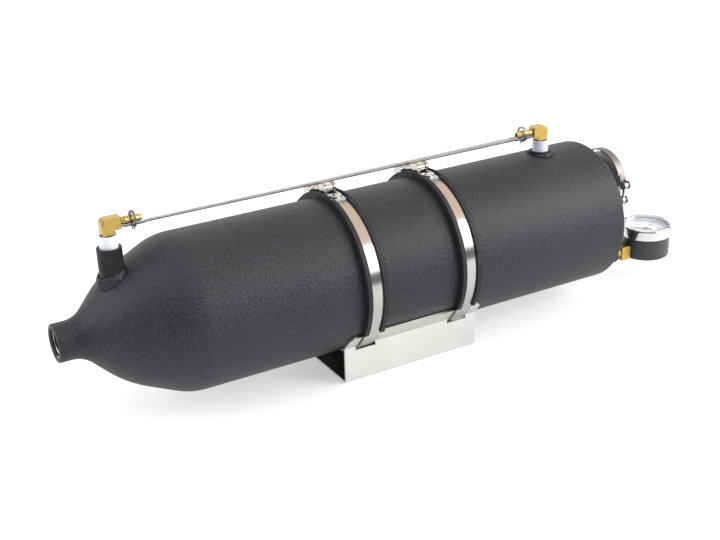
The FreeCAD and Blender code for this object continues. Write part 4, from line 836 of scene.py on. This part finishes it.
@dataclass
class Thread:
    """A helical ridge of triangular section.

    Attributes:
        radius: The radius of the ridge's root.
        depth: How far the crest stands from the root; only its size is used, and the ridge stands as far
            inwards as outwards.
        pitch: The distance between turns.
        length: The threaded length, which starts at the frame's origin and runs along +Z.
    """

    radius: float
    depth: float
    pitch: float
    length: float

    def mesh(self, name: str, material: bpy.types.Material, place: Matrix) -> bpy.types.Mesh:
        """Makes the ridge.

        Args:
            name: The pattern's name.
            material: The material that it carries.
            place: Where the thread's frame lies in the row frame.

        Returns:
            The ridge's mesh.
        """
        pattern = Pattern(
            name,
            {
                "Radius": self.radius,
                "Depth": abs(self.depth),
                "Pitch": self.pitch,
                "Length": self.length,
            },
        )
        turns = pattern.sum("DIVIDE", pattern.size("Length"), pattern.size("Pitch"))
        spiral = pattern.node(
            "GeometryNodeCurveSpiral",
            {},
            {
                "Resolution": 40,
                "Rotations": turns,
                "Start Radius": pattern.size("Radius"),
                "End Radius": pattern.size("Radius"),
                "Height": pattern.size("Length"),
            },
        )
        section = pattern.node(
            "GeometryNodeCurvePrimitiveCircle",
            {"mode": "RADIUS"},
            {"Resolution": 4, "Radius": pattern.size("Depth")},
        )
        ridge = pattern.node(
            "GeometryNodeCurveToMesh",
            {},
            {
                "Curve": spiral.outputs[0],
                "Profile Curve": section.outputs[0],
                "Fill Caps": True,
            },
        )
        return pattern.made(ridge.outputs[0], material, place)


@dataclass
class BottleNeck:
    """The neck's tapped mouth.

    Attributes:
        bore: The radius of the neck's bore.
        pitch: The pipe thread's pitch.
        length: The length that is tapped.
    """

    wardrobe: Wardrobe
    bore: float = 9.2 * MM
    pitch: float = 1.81 * MM
    length: float = 14.0 * MM

    def build(self) -> None:
        """Makes the thread inside the mouth."""
        turn = Matrix.Rotation(math.radians(90.0), 4, "Y")
        place = Matrix.Translation(NECK_RIM + Vector((1.2 * MM, 0.0, 0.0))) @ turn
        thread = Thread(self.bore, -0.55 * MM, self.pitch, self.length)
        mesh = thread.mesh("neck_thread", self.wardrobe.materials["thread_alloy"], place)
        joined_piece("neck_thread", [mesh])


@dataclass
class WeldBeads:
    """The weld beads with their lumps and ripples, in the place of the CAD model's plain ones.

    Attributes:
        plain: The CAD node, whose copy is worked over.
        grid: The spacing of the new surface's points.
        lump: How deep the hollows between lumps are.
        ripple: How deep the ripples between the welder's steps are.
        step: The distance between ripples.
    """

    wardrobe: Wardrobe
    plain: bpy.types.Object
    grid: float = 0.6 * MM
    lump: float = 0.7 * MM
    ripple: float = 0.35 * MM
    step: float = 2.6 * MM

    def depth(self, point: Vector) -> float:
        """How far the surface lies under the plain bead at a point."""
        coarse = noise.noise(point * 230.0) * 0.5 + 0.5
        wander = noise.noise(point * 190.0) * 5.0
        nearest = min(BUNG_PLACES, key=lambda place: abs(point.x - place))
        angle = math.atan2(point.y, point.x - nearest)
        reach = math.hypot(point.y, point.x - nearest)
        wave = 0.5 + 0.5 * math.cos(angle * math.tau * 13.0 * MM / self.step + wander + reach * 500.0)
        return self.lump * coarse + self.ripple * wave

    def build(self) -> None:
        """Remeshes a merged copy of the node evenly and presses the relief into it."""
        work = bmesh.new()
        work.from_mesh(self.plain.data)
        bmesh.ops.remove_doubles(work, verts=work.verts, dist=0.002 * MM)
        mesh = bpy.data.meshes.new("weld_relief")
        work.to_mesh(mesh)
        work.free()
        carrier = bpy.data.objects.new("weld_relief", mesh)
        bpy.context.scene.collection.objects.link(carrier)
        remesh = carrier.modifiers.new("even", "REMESH")
        remesh.mode = "VOXEL"
        remesh.voxel_size = self.grid
        bpy.context.view_layer.update()
        even = bpy.data.meshes.new_from_object(
            carrier.evaluated_get(bpy.context.evaluated_depsgraph_get())
        )
        bpy.data.objects.remove(carrier)
        moves = [vertex.normal * self.depth(vertex.co) for vertex in even.vertices]
        for vertex, move in zip(even.vertices, moves):
            vertex.co = vertex.co - move
        even.shade_smooth()
        even.materials.clear()
        even.materials.append(self.wardrobe.materials["weld_coat"])
        piece = joined_piece("weld_relief", [even])
        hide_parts("weld_beads")


@dataclass
class SightTube:
    """The clear tube from barb to barb, swollen where it is pushed over them.

    Attributes:
        bore: The radius of its bore.
        outside: Its own outer radius.
        swollen_bore: The bore's radius over a barb.
        grip: The length that is swollen at each end.
        sides: How many sides its round sections have.
    """

    wardrobe: Wardrobe
    bore: float = 2.5 * MM
    outside: float = 4.0 * MM
    swollen_bore: float = 2.95 * MM
    grip: float = 13.5 * MM
    sides: int = 64

    def profile(self, length: float) -> list[tuple[float, float]]:
        """The section's outline, as distances along the tube and from its axis."""
        swell = self.swollen_bore - self.bore
        steps = [step / 8.0 for step in range(9)]
        ease = [step * step * (3.0 - 2.0 * step) for step in steps]
        near = [(self.grip + 2.0 * MM * step, swell * (1.0 - way)) for step, way in zip(steps, ease)]
        rise = [(0.0, swell), *near]
        rise += [(length - along, more) for along, more in reversed(rise)]
        outer = [(along, self.outside + more) for along, more in rise]
        return outer + [(along, self.bore + more) for along, more in reversed(rise)]

    def build(self) -> None:
        """Makes the tube as one closed turned mesh in the place of the CAD node."""
        low, high = (Vector(corner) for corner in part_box("sight_tube"))
        turn = Matrix.Rotation(math.radians(90.0), 4, "Y")
        place = Matrix.Translation((low.x, 0.0, (low.z + high.z) / 2.0)) @ turn
        mesh = turned_mesh("clear_tube", self.profile(high.x - low.x), place, self.sides)
        mesh.materials.append(self.wardrobe.materials["clear_vinyl"])
        piece = joined_piece("clear_tube", [mesh])
        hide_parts("sight_tube")


@dataclass
class Bezel:
    """The gauge's chromed bezel with a truly round rim.

    Attributes:
        foot: The height of its lower edge.
        top: Its own height.
        radius: The radius of its skirt.
        rim: The radius of the rounding between the skirt and the top.
        window: The radius of the opening over the lens.
        slope: The chamfer of that opening.
        lens: The radius of the lens's seat, and the heights of its top and bottom.
        dial: The radius of the dial's seat, the radius that carries it, and its height.
    """

    wardrobe: Wardrobe
    foot: float = 36.9 * MM
    top: float = 8.6 * MM
    radius: float = 20.5 * MM
    rim: float = 2.0 * MM
    window: float = 17.6 * MM
    slope: float = 0.6 * MM
    lens: tuple[float, float, float] = (19.3 * MM, 6.6 * MM, 5.1 * MM)
    dial: tuple[float, float, float] = (18.4 * MM, 17.4 * MM, 1.8 * MM)

    def outline(self) -> list[tuple[float, float]]:
        """The section's outline, from the foot up the skirt and down the inside."""
        turns = [math.radians(90.0 * step / 10) for step in range(11)]
        seat, above, below = self.lens
        inner, ledge, floor = self.dial
        shoulder = [
            (
                self.top - self.rim * (1.0 - math.sin(turn)),
                self.radius - self.rim * (1.0 - math.cos(turn)),
            )
            for turn in turns
        ]
        return [
            (0.0, self.radius),
            *shoulder,
            (self.top, self.window + self.slope),
            (self.top - self.slope, self.window),
            (above, self.window),
            (above, seat),
            (below, seat),
            (below, inner),
            (floor, inner),
            (floor, ledge),
            (0.0, ledge),
        ]

    def build(self) -> None:
        """Makes the bezel in the place of the CAD node."""
        place = Matrix.Translation((GAUGE_CENTRE.x, GAUGE_CENTRE.y, self.foot))
        mesh = turned_mesh("round_bezel", self.outline(), place)
        mesh.materials.append(self.wardrobe.materials["gauge_chrome"])
        piece = joined_piece("round_bezel", [mesh])
        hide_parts("gauge_bezel")


@dataclass
class ClampBolts:
    """The threads of the bands' T-bolts and of the V-band's T-bolt.

    Attributes:
        band_pin_radius: How far the bands' loop pins lie from the bottle's axis.
        band_angles: Their angles from the top, towards the far side, in degrees.
        clasp_pin_radius: How far the V-band's loop pins lie from the port's axis.
        clasp_angles: Their angles from the top, in degrees.
    """

    wardrobe: Wardrobe
    band_pin_radius: float = 60.52 * MM
    band_angles: tuple[float, float] = (-8.0, -31.0)
    clasp_pin_radius: float = 27.42 * MM
    clasp_angles: tuple[float, float] = (84.0, 110.0)

    @staticmethod
    def line(across: float, height: float, radius: float, angles: tuple[float, float]) -> Matrix:
        """The frame at a clamp's first pin, with Z along its bolt.

        Args:
            across: The clamp's place along X.
            height: The height of the clamp's axis.
            radius: How far its pins lie from that axis.
            angles: The angles of its two pins from the top.

        Returns:
            The frame's matrix.
        """
        ends = [
            Vector(
                (
                    across,
                    -radius * math.sin(math.radians(angle)),
                    height + radius * math.cos(math.radians(angle)),
                )
            )
            for angle in angles
        ]
        turn = (ends[1] - ends[0]).to_track_quat("Z", "X").to_matrix().to_4x4()
        return Matrix.Translation(ends[0]) @ turn

    def build(self) -> None:
        """Makes one piece that holds the three threads."""
        steel = self.wardrobe.materials["plated_steel"]
        meshes = []
        for across in BAND_PLACES:
            frame = self.line(across, AXIS_HEIGHT, self.band_pin_radius, self.band_angles)
            place = frame @ Matrix.Translation((0.0, 0.0, 6.0 * MM))
            meshes.append(Thread(1.9 * MM, 0.2 * MM, 0.7 * MM, 27.0 * MM).mesh("bolt", steel, place))
        frame = self.line(PORT_CENTRE.x, PORT_CENTRE.z, self.clasp_pin_radius, self.clasp_angles)
        place = frame @ Matrix.Translation((0.0, 0.0, 4.0 * MM))
        meshes.append(Thread(1.23 * MM, 0.15 * MM, 0.5 * MM, 13.0 * MM).mesh("bolt", steel, place))
        joined_piece("clamp_bolt_threads", meshes)


@dataclass
class DialPrint:
    """The gauge dial's printed scale: ticks and plain numbers.

    Attributes:
        face_height: The height of the dial's face.
        outer: The radius of the ticks' outer ends.
        first_angle: Where the scale starts, anticlockwise from +X, in degrees.
        sweep: How far it runs clockwise, in degrees.
        numbers: The numbers that are printed.
        minor: How many small ticks there are between the ends.
    """

    wardrobe: Wardrobe
    face_height: float = 39.31 * MM
    outer: float = 16.4 * MM
    first_angle: float = 135.0
    sweep: float = 270.0
    numbers: tuple[int, ...] = (0, 20, 40, 60, 80, 100)
    minor: int = 50
    ink: float = 0.06 * MM

    def centre(self) -> Matrix:
        """The frame at the dial's centre."""
        return Matrix.Translation((GAUGE_CENTRE.x, GAUGE_CENTRE.y, self.face_height))

    def ticks(self, count: int, length: float, width: float) -> bpy.types.Mesh:
        """Makes a row of ticks round the dial.

        Args:
            count: How many steps the sweep is divided into.
            length: The length of a tick.
            width: The width of a tick.

        Returns:
            The ticks' mesh.
        """
        pattern = Pattern(
            "dial_ticks",
            {"Outer": self.outer, "Length": length, "Width": width, "Ink": self.ink},
        )
        points = pattern.node("GeometryNodePoints", {}, {"Count": count + 1})
        index = pattern.node("GeometryNodeInputIndex", {}, {}).outputs[0]
        step = -math.radians(self.sweep / count)
        turned = pattern.sum("MULTIPLY_ADD", index, step, math.radians(self.first_angle))
        half = pattern.sum("MULTIPLY", pattern.size("Length"), 0.5)
        away = pattern.sum("SUBTRACT", pattern.size("Outer"), half)
        tick = pattern.node(
            "GeometryNodeMeshCube",
            {},
            {
                "Size": pattern.vector(
                    pattern.size("Length"), pattern.size("Width"), pattern.size("Ink")
                )
            },
        )
        shifted = pattern.node(
            "GeometryNodeTransform",
            {},
            {"Geometry": tick.outputs[0], "Translation": pattern.vector(away)},
        )
        placed = pattern.node(
            "GeometryNodeInstanceOnPoints",
            {},
            {
                "Points": points.outputs[0],
                "Instance": shifted.outputs[0],
                "Rotation": pattern.vector(0.0, 0.0, turned),
            },
        )
        black = self.wardrobe.materials["pointer_black"]
        return pattern.made(placed.outputs[0], black, self.centre())

    def number(self, text: str, angle: float) -> bpy.types.Mesh:
        """Makes one printed number, upright for a reader who has +X at the top.

        Args:
            text: The number's digits.
            angle: Its place on the dial, anticlockwise from +X, in degrees.

        Returns:
            The number's mesh.
        """
        curve = bpy.data.curves.new("dial_number", "FONT")
        curve.body = text
        curve.size = 4.2 * MM
        curve.align_x = "CENTER"
        curve.align_y = "CENTER"
        curve.extrude = self.ink / 2
        thing = bpy.data.objects.new("dial_number", curve)
        bpy.context.scene.collection.objects.link(thing)
        bpy.context.view_layer.update()
        mesh = bpy.data.meshes.new_from_object(
            thing.evaluated_get(bpy.context.evaluated_depsgraph_get())
        )
        bpy.data.objects.remove(thing)
        away = self.outer - 5.2 * MM
        spot = Vector((math.cos(math.radians(angle)), math.sin(math.radians(angle)), 0.0)) * away
        turn = Matrix.Rotation(math.radians(-90.0), 4, "Z")
        mesh.transform(self.centre() @ Matrix.Translation(spot) @ turn)
        mesh.materials.clear()
        mesh.materials.append(self.wardrobe.materials["pointer_black"])
        return mesh

    def build(self) -> None:
        """Makes the whole print as one piece."""
        major = len(self.numbers) - 1
        meshes = [
            self.ticks(self.minor, 1.3 * MM, 0.16 * MM),
            self.ticks(major, 2.4 * MM, 0.42 * MM),
        ]
        for place, number in enumerate(self.numbers):
            angle = self.first_angle - self.sweep * place / major
            meshes.append(self.number(str(number), angle))
        joined_piece("dial_print", meshes)


@dataclass
class Studio:
    """The pale floor, the soft lights and the photograph's camera.

    Attributes:
        eye: Where the camera stands.
        right: The camera's own X axis in the row frame.
        up: Its own Y axis.
        focal_pixels: Its focal length in pixels of a frame 720 wide.
        low: The room's colour low down in front.
        wall: Its colour at middle height.
        top: Its colour overhead.
        warm: The colour of the panel overhead that the bands mirror.
        pale: The room's colour low down behind.
    """

    eye: Vector = field(default_factory=lambda: Vector((-0.401092, -0.674535, 0.406830)))
    right: Vector = field(default_factory=lambda: Vector((0.86380, -0.50310, -0.02714)))
    up: Vector = field(default_factory=lambda: Vector((0.22508, 0.33713, 0.91416)))
    focal_pixels: float = 1186.5
    frame_width: float = 720.0
    floor_front: float = -0.8
    floor_left: float = -0.75
    low: Colour = (0.13, 0.14, 0.165)
    wall: Colour = (0.34, 0.34, 0.365)
    top: Colour = (1.65, 1.65, 1.78)
    warm: Colour = (1.5, 1.19, 0.98)
    pale: Colour = (1.2, 1.2, 1.26)

    def build(self) -> None:
        """Makes the floor, the sky, the lights and the camera."""
        self.floor()
        self.world()
        self.lamp("front", (1.62, -0.98, 0.90), (0.0, 0.0, 0.08), (1.5, 0.95), 44.0)
        self.lamp("strip", (0.80, -1.30, 0.85), (0.0, 0.0, 0.08), (0.8, 0.95), 9.0)
        self.lamp("left", (-1.30, 0.20, 0.85), (-0.1, 0.0, 0.08), (0.9, 0.7), 11.0)
        self.lamp("back", (0.5, 1.7, 1.25), (0.0, 0.0, 0.05), (2.4, 0.8), 6.0)
        self.camera()
        bpy.context.scene.view_settings.view_transform = "Standard"

    def floor(self) -> None:
        """Makes the floor, a white sheet that ends a metre in front of the object."""
        mesh = bpy.data.meshes.new("floor")
        reach = 6.0
        left, front = self.floor_left, self.floor_front
        corners = [(left, front, 0.0), (reach, front, 0.0), (reach, reach, 0.0), (left, reach, 0.0)]
        mesh.from_pydata(corners, [], [(0, 1, 2, 3)])
        thing = bpy.data.objects.new("floor", mesh)
        bpy.context.scene.collection.objects.link(thing)
        maker = Maker(
            "floor", {"Roughness": 0.6, "Specular IOR Level": 0.2, "Emission Strength": 0.47}
        )
        maker.shader.inputs["Emission Color"].default_value = (0.96, 0.985, 1.0, 1.0)
        grain = maker.noise(maker.moved(), 4.0, 2.0)
        maker.surface("Base Color", maker.mixed(grain, (0.58, 0.58, 0.58), (0.60, 0.60, 0.60)))
        mesh.materials.append(maker.material)

    def world(self) -> None:
        """Makes the room: dim low down in front, pale low down behind, a warm panel overhead."""
        world = bpy.data.worlds.new("studio")
        world.use_nodes = True
        room = Nodes(world.node_tree)
        aim = room.node("ShaderNodeTexCoord", {}, {}).outputs["Generated"]
        along, depth, height = room.parts(aim)
        front = ((0.0, self.low), (0.17, self.low), (0.21, self.wall), (0.60, self.wall), (1.0, self.top))
        back = ((0.0, self.pale), (0.25, self.pale), (0.60, self.wall), (1.0, self.top))
        sides = [
            room.node("ShaderNodeValToRGB", {"stops": stops}, {0: height}).outputs[0]
            for stops in (front, back)
        ]
        walls = room.mixed(depth.between(-0.1, 0.25), *sides)
        panel = along.between(0.10, 0.30) * (along * -1.0).between(-0.85, -0.60)
        light = room.mixed(panel * height.between(0.58, 0.74), walls, (*self.warm, 1.0))
        shown = room.node("ShaderNodeBackground", {}, {0: (1.0, 1.0, 1.0, 1.0)})
        seen = room.node("ShaderNodeLightPath", {}, {}).outputs["Is Camera Ray"]
        lit = room.tree.nodes["Background"]
        room.feed(lit.inputs["Color"], light)
        both = room.node(
            "ShaderNodeMixShader", {}, {0: seen, 1: lit.outputs[0], 2: shown.outputs[0]}
        )
        room.feed(room.tree.nodes["World Output"].inputs["Surface"], both.outputs[0])
        bpy.context.scene.world = world

    @staticmethod
    def lamp(
        name: str,
        place: Sequence[float],
        aim: Sequence[float],
        size: tuple[float, float],
        power: float,
    ) -> None:
        """Makes one soft rectangular lamp.

        Args:
            name: The lamp's name.
            place: Where it hangs.
            aim: The point that it faces.
            size: Its width and depth.
            power: Its power in watts.
        """
        light = bpy.data.lights.new(name, "AREA")
        light.shape = "RECTANGLE"
        light.size, light.size_y = size
        light.energy = power
        thing = bpy.data.objects.new(name, light)
        thing.location = place
        thing.rotation_euler = (Vector(aim) - Vector(place)).to_track_quat("-Z", "Y").to_euler()
        bpy.context.scene.collection.objects.link(thing)

    def camera(self) -> None:
        """Makes the camera that the photograph was taken with."""
        lens = bpy.data.cameras.new("camera")
        lens.sensor_width = 36.0
        lens.lens = self.focal_pixels / self.frame_width * lens.sensor_width
        lens.clip_start = 0.01
        thing = bpy.data.objects.new("camera", lens)
        right = self.right.normalized()
        back = right.cross(self.up).normalized()
        up = back.cross(right)
        turn = Matrix((right, up, back)).transposed().to_4x4()
        thing.matrix_world = Matrix.Translation(self.eye) @ turn
        bpy.context.scene.collection.objects.link(thing)
        bpy.context.scene.camera = thing


def main() -> None:
    """Dresses the frame and builds the added pieces and the studio."""
    logging.basicConfig(level=logging.INFO, format="%(message)s")
    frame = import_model()
    wardrobe = Wardrobe()
    wardrobe.dress_nodes(frame["nodes"], frame["record"])
    parts = (
        BottleNeck(wardrobe),
        WeldBeads(wardrobe, frame["nodes"]["weld_beads"]),
        SightTube(wardrobe),
        Bezel(wardrobe),
        ClampBolts(wardrobe),
        DialPrint(wardrobe),
        Studio(),
    )
    for part in parts:
        part.build()
        LOG.info("built %s", type(part).__name__)


if __name__ == "__main__":
    main()
